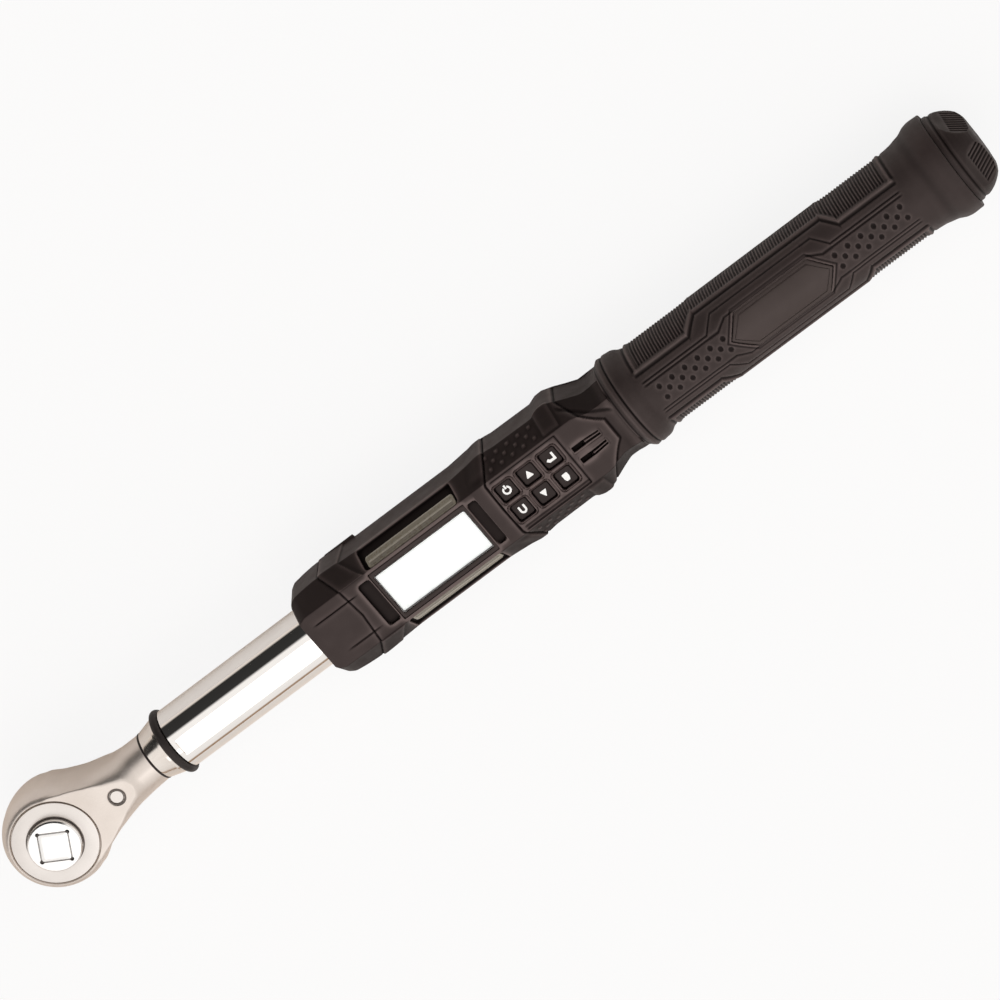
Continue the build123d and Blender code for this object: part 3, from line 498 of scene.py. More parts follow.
def mark_hollows(piece: bpy.types.Object, values: np.ndarray) -> None:
    """Keeps the hollow measure, which drives the painted shade and highlight, with a mesh's points, 0 for
    those after the relief's grid.

    Args:
        piece: the object.
        values: the measure, in the order of the mesh's points.
    """
    every = np.zeros(len(piece.data.vertices), np.float32)
    every[:values.size] = values.ravel()
    layer = piece.data.attributes.new("hollow", "FLOAT", "POINT")
    layer.data.foreach_set("value", every)


def carve(body: bpy.types.Object, cutters: list, sharp: float = 32.0) -> None:
    """Cuts surfaces out of an object and keeps the result as its mesh.

    Args:
        body: the object to cut.
        cutters: closed surfaces, cut one after another.
        sharp: angle in degrees from which an edge stays sharp.
    """
    tools = []
    for number, cutter in enumerate(cutters):
        tool = mesh_object(f"cutter_{number}", cutter)
        cut = body.modifiers.new(f"cut_{number}", "BOOLEAN")
        cut.operation = "DIFFERENCE"
        cut.solver = "EXACT"
        cut.object = tool
        tools.append(tool)
    graph = bpy.context.evaluated_depsgraph_get()
    result = bpy.data.meshes.new_from_object(body.evaluated_get(graph))
    body.modifiers.clear()
    body.data = result
    for tool in tools:
        bpy.data.objects.remove(tool, do_unlink=True)
    result.polygons.foreach_set("use_smooth", np.ones(len(result.polygons), bool))
    result.set_sharp_from_angle(angle=math.radians(sharp))


def ramp_stops(ramp: bpy.types.ColorRamp, stops: list) -> None:
    """Replaces a colour ramp's stops.

    Args:
        ramp: the ramp.
        stops: pairs of a place from 0 to 1 and a colour.
    """
    elements = ramp.elements
    while len(elements) > 1:
        elements.remove(elements[-1])
    for number, (place, colour) in enumerate(stops):
        element = elements[0] if number == 0 else elements.new(place)
        element.position = place
        element.color = (*colour, 1.0)


# ------------------------------------------------------------------ finishes
class Board:
    """Short calls for building one material's node tree."""

    def __init__(self, name: str) -> None:
        """Starts a material with only its output and a principled shader.

        Args:
            name: the material's name.
        """
        self.material = bpy.data.materials.new(name)
        self.material.use_nodes = True
        self.tree = self.material.node_tree
        self.tree.nodes.clear()
        self.out = self.node("ShaderNodeOutputMaterial")
        self.shader = self.node("ShaderNodeBsdfPrincipled")
        self.link(self.shader.outputs[0], self.out.inputs["Surface"])
        self.coords = self.node("ShaderNodeTexCoord").outputs["Object"]

    def node(self, kind: str, **values) -> bpy.types.Node:
        """Adds a node and sets its properties and input sockets by name.

        Args:
            kind: Blender's name of the node.
            **values: properties, or inputs with an underscore for each space.

        Returns:
            The new node.
        """
        made = self.tree.nodes.new(kind)
        for key, value in values.items():
            if hasattr(made, key):
                setattr(made, key, value)
            else:
                made.inputs[key.replace("_", " ")].default_value = value
        return made

    def link(self, a: bpy.types.NodeSocket, b: bpy.types.NodeSocket) -> None:
        """Joins two sockets."""
        self.tree.links.new(a, b)

    def set(self, **values) -> None:
        """Sets the principled shader's own sockets."""
        for key, value in values.items():
            self.shader.inputs[key.replace("_", " ")].default_value = value

    def stretched(self, scale: tuple, turn: tuple = (0.0, 0.0, 0.0)) -> bpy.types.NodeSocket:
        """Object coordinates scaled along each axis.

        Args:
            scale: factor along each axis.
            turn: rotation in radians.

        Returns:
            The mapped coordinates.
        """
        mapping = self.node("ShaderNodeMapping")
        mapping.inputs["Scale"].default_value = scale
        mapping.inputs["Rotation"].default_value = turn
        self.link(self.coords, mapping.inputs["Vector"])
        return mapping.outputs["Vector"]

    def noise(self, scale: float, detail: float = 4.0, vector: bpy.types.NodeSocket | None = None,
              roughness: float = 0.5) -> bpy.types.NodeSocket:
        """Fractal noise read along object coordinates, or along the given ones.

        Args:
            scale: waves for each metre.
            detail: octaves.
            vector: coordinates, or None for the object's own.
            roughness: weight of the finer octaves.

        Returns:
            The noise.
        """
        made = self.node("ShaderNodeTexNoise", Scale=scale, Detail=detail, Roughness=roughness)
        self.link(vector or self.coords, made.inputs["Vector"])
        return made.outputs["Fac"]

    def spread(self, value: bpy.types.NodeSocket, low: float, high: float, start: float = 0.3,
               end: float = 0.7) -> bpy.types.NodeSocket:
        """Maps a pattern on to a range of numbers.

        Args:
            value: the pattern.
            low: number where the pattern is at start.
            high: number where it is at end.
            start: pattern value that gives low.
            end: pattern value that gives high.

        Returns:
            The mapped number.
        """
        made = self.node("ShaderNodeMapRange")
        self.link(value, made.inputs["Value"])
        for key, number in (("From Min", start), ("From Max", end), ("To Min", low), ("To Max", high)):
            made.inputs[key].default_value = number
        return made.outputs["Result"]

    def blend(self, value: bpy.types.NodeSocket, low: tuple, high: tuple, start: float = 0.3,
              end: float = 0.7) -> bpy.types.NodeSocket:
        """Maps a pattern on to a blend of two colours.

        Args:
            value: the pattern.
            low: colour where the pattern is at start.
            high: colour where it is at end.
            start: pattern value that gives low.
            end: pattern value that gives high.

        Returns:
            The blended colour.
        """
        ramp = self.node("ShaderNodeValToRGB")
        ramp.color_ramp.elements[0].position = start
        ramp.color_ramp.elements[1].position = end
        ramp.color_ramp.elements[0].color = (*low, 1.0)
        ramp.color_ramp.elements[1].color = (*high, 1.0)
        self.link(value, ramp.inputs["Fac"])
        return ramp.outputs["Color"]

    def bump(self, height: bpy.types.NodeSocket, depth: float, strength: float = 0.5) -> None:
        """Adds a fine relief on top of any that is there.

        Args:
            height: the pattern of heights.
            depth: its full height in metres.
            strength: share of it that shows.
        """
        made = self.node("ShaderNodeBump", Strength=strength, Distance=depth)
        self.link(height, made.inputs["Height"])
        here = self.shader.inputs["Normal"]
        if here.is_linked:
            self.link(here.links[0].from_socket, made.inputs["Normal"])
        self.link(made.outputs["Normal"], here)

    def painted_shade_and_highlight(self) -> bpy.types.NodeSocket:
        """Factor of painted shade and highlight from the mesh's hollow measure.

        A ramp over the measure paints highlight on ridges, is plain where the measure is 0 and paints
        shade in grooves. Its level is divided by the plain one.

        Returns:
            1 on plain faces, over 1 on ridges and low in grooves.
        """
        layer = self.node("ShaderNodeAttribute", attribute_name="hollow")
        scaled = self.spread(layer.outputs["Fac"], 0.0, 1.0, *HOLLOW_RANGE)
        curve = self.node("ShaderNodeValToRGB")
        ramp_stops(curve.color_ramp, [(place, (level, level, level)) for place, level in PAINTED_LIGHT_STOPS])
        self.link(scaled, curve.inputs["Fac"])
        share = self.node("ShaderNodeMath", operation="MULTIPLY")
        self.link(curve.outputs["Color"], share.inputs[0])
        plain = PAINTED_LIGHT_STOPS[1][1]
        share.inputs[1].default_value = 1.0 / plain
        return share.outputs[0]


@dataclass(frozen=True)
class Metal:
    """Bare or plated metal: faint tone clouds, fine grain along one axis, small scratches."""

    name: str
    dark: tuple
    light: tuple
    roughness: tuple
    grain: tuple = (400.0, 4000.0, 4000.0)
    relief: float = 0.00001
    scratches: float = 0.0

    def build(self) -> bpy.types.Material:
        """Makes the material.

        Returns:
            The new material.
        """
        board = Board(self.name)
        board.set(Metallic=1.0, Specular_IOR_Level=0.5, Specular_Tint=(1.0, 0.93, 0.86, 1.0))
        clouds = board.noise(60.0, 5.0)
        grain = board.noise(1.0, 3.0, board.stretched(self.grain))
        mixed = board.node("ShaderNodeMix", data_type="FLOAT")
        mixed.inputs["Factor"].default_value = 0.4
        board.link(clouds, mixed.inputs[2])
        board.link(grain, mixed.inputs[3])
        board.link(board.blend(mixed.outputs[0], self.dark, self.light), board.shader.inputs["Base Color"])
        board.link(board.spread(grain, *self.roughness), board.shader.inputs["Roughness"])
        board.bump(grain, self.relief, 0.35)
        if self.scratches > 0:
            marks = board.noise(1.0, 2.0, board.stretched((2500.0, 180.0, 900.0), (0.3, 0.2, 0.7)), 0.7)
            board.bump(board.spread(marks, 0.0, 1.0, 0.62, 0.7), self.scratches, 0.25)
        return board.material


@dataclass(frozen=True)
class Moulded:
    """Moulded plastic or rubber: spark-eroded texture, slight tone clouds, rubbed spots, and painted shade
    in grooves and painted highlight on ridges from the mesh's hollow measure.
    """

    name: str
    dark: tuple
    light: tuple
    roughness: tuple
    texture: float = 3500.0
    relief: float = 0.00003
    gloss: float = 0.45
    sheen: float = 0.0

    def build(self) -> bpy.types.Material:
        """Makes the material.

        Returns:
            The new material.
        """
        board = Board(self.name)
        board.set(Metallic=0.0, Sheen_Weight=self.sheen, Specular_Tint=(1.0, 0.84, 0.80, 1.0))
        clouds = board.noise(45.0, 6.0, roughness=0.6)
        # Painted shade and highlight: the hollow measure scales the base colour and the specular level,
        # darker in grooves and brighter on ridges.
        share = board.painted_shade_and_highlight()
        shaded = board.node("ShaderNodeVectorMath", operation="SCALE")
        board.link(board.blend(clouds, self.dark, self.light), shaded.inputs[0])
        board.link(share, shaded.inputs["Scale"])
        board.link(shaded.outputs["Vector"], board.shader.inputs["Base Color"])
        level = board.node("ShaderNodeMath", operation="MULTIPLY")
        board.link(share, level.inputs[0])
        level.inputs[1].default_value = self.gloss
        board.link(level.outputs[0], board.shader.inputs["Specular IOR Level"])
        rubbed = board.noise(160.0, 4.0)
        board.link(board.spread(rubbed, *self.roughness), board.shader.inputs["Roughness"])
        cells = board.node("ShaderNodeTexVoronoi", Scale=self.texture)
        board.link(board.coords, cells.inputs["Vector"])
        board.bump(cells.outputs["Distance"], self.relief, 0.5)
        board.bump(board.noise(self.texture * 0.45, 3.0), self.relief, 0.4)
        return board.material


@dataclass(frozen=True)
class ClearPanel:
    """Clear polycarbonate with faint moulding waves."""

    name: str = "clear_polycarbonate"

    def build(self) -> bpy.types.Material:
        """Makes the material.

        Returns:
            The new material.
        """
        board = Board(self.name)
        board.set(Metallic=0.0, IOR=1.46, Transmission_Weight=1.0, Base_Color=(0.97, 0.98, 0.98, 1.0))
        board.link(board.spread(board.noise(220.0, 3.0), 0.0, 0.01), board.shader.inputs["Roughness"])
        board.bump(board.noise(60.0, 1.0), 0.000001, 0.05)
        return board.material


@dataclass(frozen=True)
class PaleDisplay:
    """Reflective display: pale ground with its faint electrode lattice, and a painted glow in faint clouds.
    """

    name: str = "pale_display"
    strength: float = 0.55

    def build(self) -> bpy.types.Material:
        """Makes the material.

        Returns:
            The new material.
        """
        board = Board(self.name)
        # The emission is a painted glow: the display has no light of its own.
        board.set(Metallic=0.0, Specular_IOR_Level=0.3, Emission_Strength=self.strength)
        lattice = board.node("ShaderNodeTexBrick", Scale=1400.0, Mortar_Size=0.02)
        board.link(board.coords, lattice.inputs["Vector"])
        lattice.inputs["Color1"].default_value = (0.90, 0.91, 0.89, 1.0)
        lattice.inputs["Color2"].default_value = (0.88, 0.90, 0.88, 1.0)
        lattice.inputs["Mortar"].default_value = (0.84, 0.86, 0.84, 1.0)
        board.link(lattice.outputs["Color"], board.shader.inputs["Base Color"])
        # Painted glow, varied in faint clouds.
        glow = board.blend(board.noise(25.0, 2.0), (0.93, 0.95, 0.94), (1.0, 1.0, 0.99))
        board.link(glow, board.shader.inputs["Emission Color"])
        board.link(board.spread(board.noise(300.0), 0.25, 0.35), board.shader.inputs["Roughness"])
        return board.material


@dataclass(frozen=True)
class LightPipe:
    """Smoked translucent strip with milky clouds; its lighter and darker copies paint highlight lines and
    shade on the light bars.
    """

    name: str = "smoked_light_pipe"
    dark: tuple = (0.165, 0.145, 0.105)
    light: tuple = (0.215, 0.19, 0.145)

    def build(self) -> bpy.types.Material:
        """Makes the material.

        Returns:
            The new material.
        """
        board = Board(self.name)
        board.set(Metallic=0.0, Specular_IOR_Level=0.5, Coat_Weight=0.4, Coat_Roughness=0.2)
        clouds = board.noise(1.0, 4.0, board.stretched((9.0, 700.0, 700.0)))
        board.link(board.blend(clouds, self.dark, self.light), board.shader.inputs["Base Color"])
        board.link(board.spread(board.noise(500.0), 0.22, 0.36), board.shader.inputs["Roughness"])
        board.bump(board.noise(1.0, 1.0, board.stretched((12.0, 300.0, 300.0))), 0.000004, 0.2)
        return board.material


@dataclass(frozen=True)
class PrintedMark:
    """White marking ink with a slightly uneven cover and a faint painted glow."""

    name: str = "white_ink"

    def build(self) -> bpy.types.Material:
        """Makes the material.

        Returns:
            The new material.
        """
        board = Board(self.name)
        # The emission is a painted glow on the ink.
        board.set(Metallic=0.0, Specular_IOR_Level=0.3, Emission_Color=(1.0, 0.99, 0.97, 1.0),
                  Emission_Strength=0.18)
        board.link(board.blend(board.noise(900.0), (0.88, 0.875, 0.86), (0.97, 0.965, 0.95)),
                   board.shader.inputs["Base Color"])
        board.link(board.spread(board.noise(2000.0), 0.5, 0.65), board.shader.inputs["Roughness"])
        board.bump(board.noise(3000.0), 0.00002, 0.3)
        return board.material


@dataclass(frozen=True)
class CircuitBoard:
    """Green laminate with copper tracks under the resist."""

    name: str = "circuit_board"

    def build(self) -> bpy.types.Material:
        """Makes the material.

        Returns:
            The new material.
        """
        board = Board(self.name)
        board.set(Metallic=0.0, Specular_IOR_Level=0.5, Coat_Weight=0.3)
        tracks = board.node("ShaderNodeTexBrick", Scale=260.0, Mortar_Size=0.03)
        board.link(board.coords, tracks.inputs["Vector"])
        tracks.inputs["Color1"].default_value = (0.012, 0.10, 0.04, 1.0)
        tracks.inputs["Color2"].default_value = (0.015, 0.13, 0.055, 1.0)
        tracks.inputs["Mortar"].default_value = (0.05, 0.24, 0.10, 1.0)
        board.link(tracks.outputs["Color"], board.shader.inputs["Base Color"])
        board.link(board.spread(board.noise(800.0), 0.3, 0.45), board.shader.inputs["Roughness"])
        board.bump(tracks.outputs["Fac"], 0.00003, 0.4)
        return board.material


class Finish(Enum):
    """Every finish on the tool."""

    HEAD_STEEL = Metal("satin_forged_steel", (0.66, 0.595, 0.545), (0.78, 0.715, 0.665), (0.34, 0.46),
                       (900.0, 2600.0, 2600.0), 0.00002, 0.00002)
    COVER_STEEL = Metal("ground_cover_steel", (0.66, 0.62, 0.59), (0.76, 0.72, 0.69), (0.28, 0.38),
                        (2200.0, 2200.0, 500.0), 0.00001, 0.00001)
    HUB_STEEL = Metal("bright_hub_steel", (0.80, 0.79, 0.78), (0.88, 0.87, 0.86), (0.16, 0.24),
                      (1800.0, 1800.0, 400.0), 0.000006, 0.00001)
    CHROME = Metal("chrome_plate", (0.84, 0.82, 0.80), (0.90, 0.88, 0.86), (0.045, 0.075),
                   (120.0, 900.0, 900.0), 0.000002)
    COLLAR_CHROME = Metal("collar_chrome", (0.72, 0.66, 0.61), (0.82, 0.77, 0.72), (0.12, 0.2),
                          (120.0, 900.0, 900.0), 0.000004)
    # Painted shade: dark metal laid over seams and round recesses where shade falls.
    SEAM = Metal("painted_shade_metal", (0.10, 0.085, 0.078), (0.17, 0.15, 0.14), (0.35, 0.5))
    HARD_STEEL = Metal("hardened_steel", (0.22, 0.22, 0.23), (0.36, 0.36, 0.37), (0.3, 0.5))
    CONTACT = Metal("plated_contact", (0.70, 0.56, 0.28), (0.82, 0.68, 0.38), (0.25, 0.4))
    SEAL = Moulded("black_seal_rubber", (0.010, 0.009, 0.009), (0.018, 0.016, 0.016), (0.42, 0.6),
                   5000.0, 0.00002, 0.4)
    HOUSING = Moulded("moulded_housing", (0.027, 0.0185, 0.018), (0.034, 0.0235, 0.0225), (0.46, 0.58),
                      3500.0, 0.00002, 0.42)
    FRAME = Moulded("smooth_frame_black", (0.018, 0.012, 0.0115), (0.023, 0.016, 0.015), (0.32, 0.42),
                    9000.0, 0.000008, 0.4)
    GRIP = Moulded("soft_grip_black", (0.022, 0.0155, 0.015), (0.029, 0.020, 0.0195), (0.5, 0.64),
                   3000.0, 0.00002, 0.4, 0.05)
    PLAQUE = Moulded("satin_plaque", (0.040, 0.030, 0.028), (0.050, 0.038, 0.036), (0.4, 0.5),
                     6000.0, 0.00001, 0.42)
    KEY = Moulded("soft_key_black", (0.013, 0.009, 0.009), (0.018, 0.0125, 0.012), (0.42, 0.55),
                  5000.0, 0.00001, 0.35)
    CAP = Moulded("moulded_cap", (0.012, 0.008, 0.008), (0.017, 0.0115, 0.011), (0.46, 0.58),
                  3200.0, 0.00003, 0.35)
    SLEEVE = Moulded("battery_sleeve_grey", (0.10, 0.10, 0.11), (0.14, 0.14, 0.15), (0.45, 0.6))
    CHIP = Moulded("component_black", (0.02, 0.02, 0.02), (0.035, 0.035, 0.035), (0.35, 0.5))
    CELL = Moulded("printed_cell_wrap", (0.06, 0.06, 0.065), (0.10, 0.10, 0.11), (0.22, 0.34),
                   9000.0, 0.000005, 0.5)
    GAUGE = Moulded("printed_gauge", (0.55, 0.28, 0.08), (0.70, 0.40, 0.13), (0.3, 0.45))
    CLEAR = ClearPanel()
    DISPLAY = PaleDisplay()
    LIGHT_PIPE = LightPipe()
    # Painted highlight and painted shade: lighter and darker copies of the light pipe laid on the bars.
    LIGHT_LINE = LightPipe("pipe_painted_highlight", (0.27, 0.245, 0.20), (0.33, 0.30, 0.25))
    LIGHT_TROUGH = LightPipe("pipe_painted_shade", (0.105, 0.09, 0.068), (0.15, 0.13, 0.10))
    INK = PrintedMark()
    BOARD = CircuitBoard()

    def material(self) -> bpy.types.Material:
        """The finish's material, made once."""
        made = bpy.data.materials.get(self.value.name)
        return made or self.value.build()


def dress(piece: bpy.types.Object, finish: Finish) -> None:
    """Puts one finish in all of a piece's material slots.

    Args:
        piece: the object.
        finish: its finish.
    """
    material = finish.material()
    if not piece.material_slots:
        piece.data.materials.append(material)
    for slot in piece.material_slots:
        slot.material = material


def settle(piece: bpy.types.Object, finish: Finish, body: str, slot: str, *nodes: str) -> bpy.types.Object:
    """Finishes a piece, lets it ride on a body and stand for solids.

    Args:
        piece: the object.
        finish: its finish.
        body: the body that it moves with.
        slot: the record's material slot; not used.
        nodes: the solids that it replaces.

    Returns:
        The same piece.
    """
    dress(piece, finish)
    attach(piece, body)
    if nodes:
        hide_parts(*nodes)
    LOG.info("%s: %d faces on %s", piece.name, len(piece.data.polygons), body)
    return piece


# ------------------------------------------------------------------ head and shaft
@dataclass
class RatchetHead:
    """Forged head with its flat faces, covers, pin sinks and tang."""

    face_z: float = 15.5
    barrel_z: tuple = (-15.5, -12.5, -9.5, -5.0, 0.0, 6.0, 9.5, 12.0, 14.0, 15.5)
    barrel_r: tuple = (19.6, 20.85, 21.7, 22.6, 23.1, 23.25, 22.95, 22.2, 21.3, 19.9)
    seat_r: float = 19.05
    seat_mouth: float = 0.5
    seat_flare: float = 0.45
    cover_t: float = 2.0
    cover_gap: float = 0.15
    cover_inset: float = 0.4
    hub_r: float = 11.7
    pocket_r: float = 15.95
    pin_x: float = 33.8
    pin_r: float = 3.05
    sink_r: float = 3.95
    sink_deep: float = 0.8
    sink_mouth: float = 0.25
    pawl_room: tuple = ((10.0, 1.5), (16.5, 1.5), (24.0, -2.6), (31.0, -6.0), (36.5, -6.0), (39.8, -2.0),
                        (39.8, 2.5), (35.0, 6.4), (28.0, 9.2), (26.8, 10.4), (12.0, 10.4))
    pawl_half: float = 6.2
    fork_x: tuple = (80.0, 98.0)
    fork_half: float = 10.0
    fork_slot: float = 3.0
    edge_r: float = 0.6
    tang_r: float = 9.0
    tang_end: float = 96.0
    tang_edge: float = 0.5
    square: float = 12.7
    turn: float = -31.0
    hub_z: float = 19.3
    neck_x: tuple = (2.0, 9.0, 17.0, 26.0, 33.5, 39.5, 46.0, 53.0)
    neck_y: tuple = (20.0, 18.8, 16.4, 13.8, 12.3, 11.5, 11.4, 11.3)
    neck_over: tuple = (20.0, 20.0, 20.5, 15.6, 14.2, 14.2, 11.9, 11.3)
    neck_under: tuple = (27.0, 26.0, 24.5, 21.0, 19.5, 16.5, 13.2, 11.3)
    neck_level: tuple = (4.0, 4.0, 4.0, 4.0, 3.2, 2.4, 1.4, 0.0)
    neck_n: tuple = (3.4, 3.2, 3.0, 2.9, 2.5, 2.2, 2.0, 2.0)
    neck_from: float = 2.0
    neck_height_from: float = 10.0
    neck_grid_from: float = 11.0
    blend: float = 1.6
    blend_in: tuple = (5.0, 11.0)
    blend_out: tuple = (22.0, 27.0)

    def __post_init__(self) -> None:
        """Finds the barrel's widest radius and the height it lies at."""
        self.disc_r = max(self.barrel_r)
        self.disc_z = self.barrel_z[self.barrel_r.index(self.disc_r)]

    def disc_radius(self, z: np.ndarray) -> np.ndarray:
        """Radius of the round head at a height, a soft curve through the barrel's points."""
        return soft_curve(z, self.barrel_z, self.barrel_r)

    def reach(self, x: np.ndarray, side: int) -> np.ndarray:
        """How high or low the head reaches at x.

        Args:
            x: places along the tool.
            side: 1 for the upper limit, -1 for the lower.

        Returns:
            The height of the barrel's edge, or of the neck's egg, within the faces.
        """
        zs = np.linspace(self.disc_z, side * self.face_z, 80)
        barrel = np.interp(-np.minimum(x, 0.0), self.disc_radius(zs)[::-1], zs[::-1])
        half = soft_curve(x, self.neck_x, self.neck_over if side > 0 else self.neck_under)
        neck = soft_curve(x, self.neck_x, self.neck_level) + side * half
        neck = np.clip(neck, -self.face_z, self.face_z)
        return np.where(x > self.neck_height_from, neck, barrel)

    def half_width(self, x: np.ndarray, z: np.ndarray) -> np.ndarray:
        """Half width of the head at x and z.

        The disc gives sqrt(r(z)^2 - x^2), the neck a flattened egg about its level, and the
        wider of the two counts, blended by a soft maximum where they meet.

        Args:
            x: places along the tool.
            z: heights.

        Returns:
            The half width at each place.
        """
        disc = np.sqrt(np.maximum(self.disc_radius(z) ** 2 - x ** 2, 0.0))
        a = soft_curve(x, self.neck_x, self.neck_y)
        away = z - soft_curve(x, self.neck_x, self.neck_level)
        over = soft_curve(x, self.neck_x, self.neck_over)
        under = soft_curve(x, self.neck_x, self.neck_under)
        t = np.minimum(np.where(away > 0, away / over, -away / under), 1.0)
        n = soft_curve(x, self.neck_x, self.neck_n)
        neck = a * np.maximum(1.0 - t ** n, 0.0) ** (1.0 / n)
        neck = np.where(x > self.neck_from, neck, 0.0)
        joined = smoothstep(*self.blend_in, x)
        soft = self.blend * joined * (1.0 - smoothstep(*self.blend_out, x))
        return 0.5 * (disc + neck + np.sqrt((disc - neck) ** 2 + soft ** 2) - soft * (1 - joined))

    def body_surface(self) -> Surface:
        """Sections across X: flat faces of half width w(x, b) joined by walls y = w(x, z).

        Returns:
            The forging with its tang, before anything is cut out of it.
        """
        turn = np.linspace(0.02, math.pi / 2 + 0.5, 90)
        even = np.linspace(self.neck_grid_from, self.neck_x[-1], 110)
        xs = np.unique(np.concatenate([-self.disc_r * np.cos(turn), even]))
        wall = np.sin(np.linspace(-1, 1, 64) * math.pi / 2)
        flat = np.linspace(-1, 1, 26)[1:-1]
        x = xs[:, None]
        high = self.reach(x, 1)
        low = self.reach(x, -1)
        b = (high - low) / 2
        z = (high + low) / 2 + b * wall[None, :]
        depth = np.clip(b * np.abs(wall)[None, :] - (b - self.edge_r), 0.0, self.edge_r)
        rounding = self.edge_r - np.sqrt(self.edge_r ** 2 - depth ** 2)
        rounding = rounding * smoothstep(0.3, 2.5, self.half_width(x, z))
        y = np.maximum(self.half_width(x, z) - rounding, 0.012)
        right = np.stack([np.broadcast_to(x, z.shape), y, z], -1)[:, ::-1]
        left = np.stack([np.broadcast_to(x, z.shape), -y, z], -1)
        shape = (len(xs), len(flat))
        across = np.broadcast_to(x, shape)
        under = np.stack([across, -flat[None, :] * y[:, :1], np.broadcast_to(low, shape)], -1)
        over = np.stack([across, flat[None, :] * y[:, -1:], np.broadcast_to(high, shape)], -1)
        loops = np.concatenate([right, under, left, over], axis=1)
        cols = loops.shape[1]
        last = loops[-1]
        angle = np.arctan2(last[:, 2], last[:, 1])
        steps = ((self.neck_x[-1], self.tang_r), (self.tang_end - self.tang_edge, self.tang_r),
                 (self.tang_end, self.tang_r - self.tang_edge))
        tang = [np.stack([np.full(cols, place), radius * np.cos(angle), radius * np.sin(angle)], -1)
                for place, radius in steps]
        return carried(np.concatenate([loops, np.stack(tang)]))

    def recess(self, side: int, deep: float, mouth: float, radius: float, flare: float,
               segments: int, x: float = 0.0) -> Surface:
        """Cutter for a round recess in a face, with a chamfered mouth.

        Args:
            side: 1 for the upper face, -1 for the lower.
            deep: depth of its floor.
            mouth: depth where the chamfer starts.
            radius: radius of its wall.
            flare: radius at the face.
            segments: steps round it.
            x: where it lies along the tool.

        Returns:
            The cutter, standing out of the face.
        """
        f = self.face_z
        profile = [(f - deep, 0), (f - deep, radius), (f - mouth, radius), (f + 0.05, flare),
                   (f + 2, flare), (f + 2, 0)]
        return lathe([(side * z, r) for z, r in profile], "Z", segments, (x, 0, 0))

    def bore(self, radius: float, segments: int, x: float = 0.0) -> Surface:
        """Cutter for a hole through both faces."""
        f = self.face_z + 1
        return lathe([(-f, 0), (-f, radius), (f, radius), (f, 0)], "Z", segments, (x, 0, 0))

    def cutters(self) -> list:
        """Cover seats with chamfered mouths, the gear pocket, the pin bore and its sinks, and the fork.

        Returns:
            The closed surfaces to cut, in order.
        """
        sides = (-1, 1)
        wide = self.seat_r + self.seat_flare
        seats = [self.recess(s, self.cover_t, self.seat_mouth, self.seat_r, wide, 180) for s in sides]
        sinks = [self.recess(s, self.sink_deep, self.sink_mouth, self.sink_r - 0.1, self.sink_r + 0.2, 80,
                             self.pin_x) for s in sides]
        room = prism(np.array(self.pawl_room), -self.pawl_half, self.pawl_half)
        fork = prism(np.array(corners_of(*self.fork_x, -self.fork_half, self.fork_half)), -self.fork_slot,
                     self.fork_slot)
        pocket = self.bore(self.pocket_r, 144)
        return [*seats, pocket, self.bore(self.pin_r, 64, self.pin_x), *sinks, room, fork]

    def build(self) -> None:
        """Makes the head and its two covers and dresses what they hold."""
        head = mesh_object("head_forging", self.body_surface(), 28.0)
        carve(head, self.cutters(), 28.0)
        settle(head, Finish.HEAD_STEEL, "wrench", "steel_satin", "ratchet_head")
        for name, side in (("cover_upper", 1), ("cover_lower", -1)):
            low = self.face_z - self.cover_t
            corners = corners_of(side * low, side * self.face_z, self.hub_r + self.cover_gap,
                                 self.seat_r - self.cover_inset)
            ring = mesh_object(f"{name}_ring", lathe(rounded_outline(corners, 0.3), "Z", 180))
            settle(ring, Finish.COVER_STEEL, "wrench", "steel_satin", name)
        self.crowns()

    def crowns(self) -> None:
        """Painted shade and a ground end: a dark ring of painted shade over the seam between the square and
        the gear, the square's ground end, a thin ring of painted shadow round the hub and another inside the
        upper pin sink.
        """
        turn = math.radians(self.turn)
        half = self.square / 2

        def square_at(half_side: float, corner: float) -> np.ndarray:
            """Rounded square of the drive's turn."""
            outline = rounded_outline(corners_of(-half_side, half_side, -half_side, half_side), corner, 6)
            c, s = math.cos(turn), math.sin(turn)
            return outline @ np.array([[c, s], [-s, c]])

        top = self.hub_z
        rows = []
        inner, outer = (half + 0.12, 0.9), (half + 0.42, 1.0)
        low, high = top - 0.02, top + 0.06
        for (half_side, corner), z in ((inner, low), (inner, high), (outer, high), (outer, low)):
            rows.append(np.column_stack([square_at(half_side, corner), np.full(28, z)]))
        # Painted shade: a thin dark ring laid over the seam between the square and the gear.
        seam = mesh_object("hub_seam_shade", carried(np.stack(rows), closed_rows=True))
        settle(seam, Finish.SEAM, "gear", "steel_dark")
        crown = plate(square_at(half - 0.12, 1.0), top - 0.1, top + 0.08, 0.16)
        settle(mesh_object("drive_crown", crown), Finish.HUB_STEEL, "drive", "steel_bright")
        face = self.face_z
        shade = rounded_outline(corners_of(face - 0.03, face + 0.03, self.hub_r + 0.16, self.hub_r + 0.75),
                                0.01, 2)
        ring = mesh_object("hub_shadow_ring", lathe(shade, "Z", 144))
        settle(ring, Finish.SEAM, "wrench", "steel_dark")
        shade = rounded_outline(corners_of(face - 0.9, face - 0.2, self.sink_r - 0.75, self.sink_r - 0.12),
                                0.05, 2)
        ring = mesh_object("pin_shadow_ring", lathe(shade, "Z", 80, (self.pin_x, 0, 0)))
        settle(ring, Finish.SEAM, "wrench", "steel_dark")

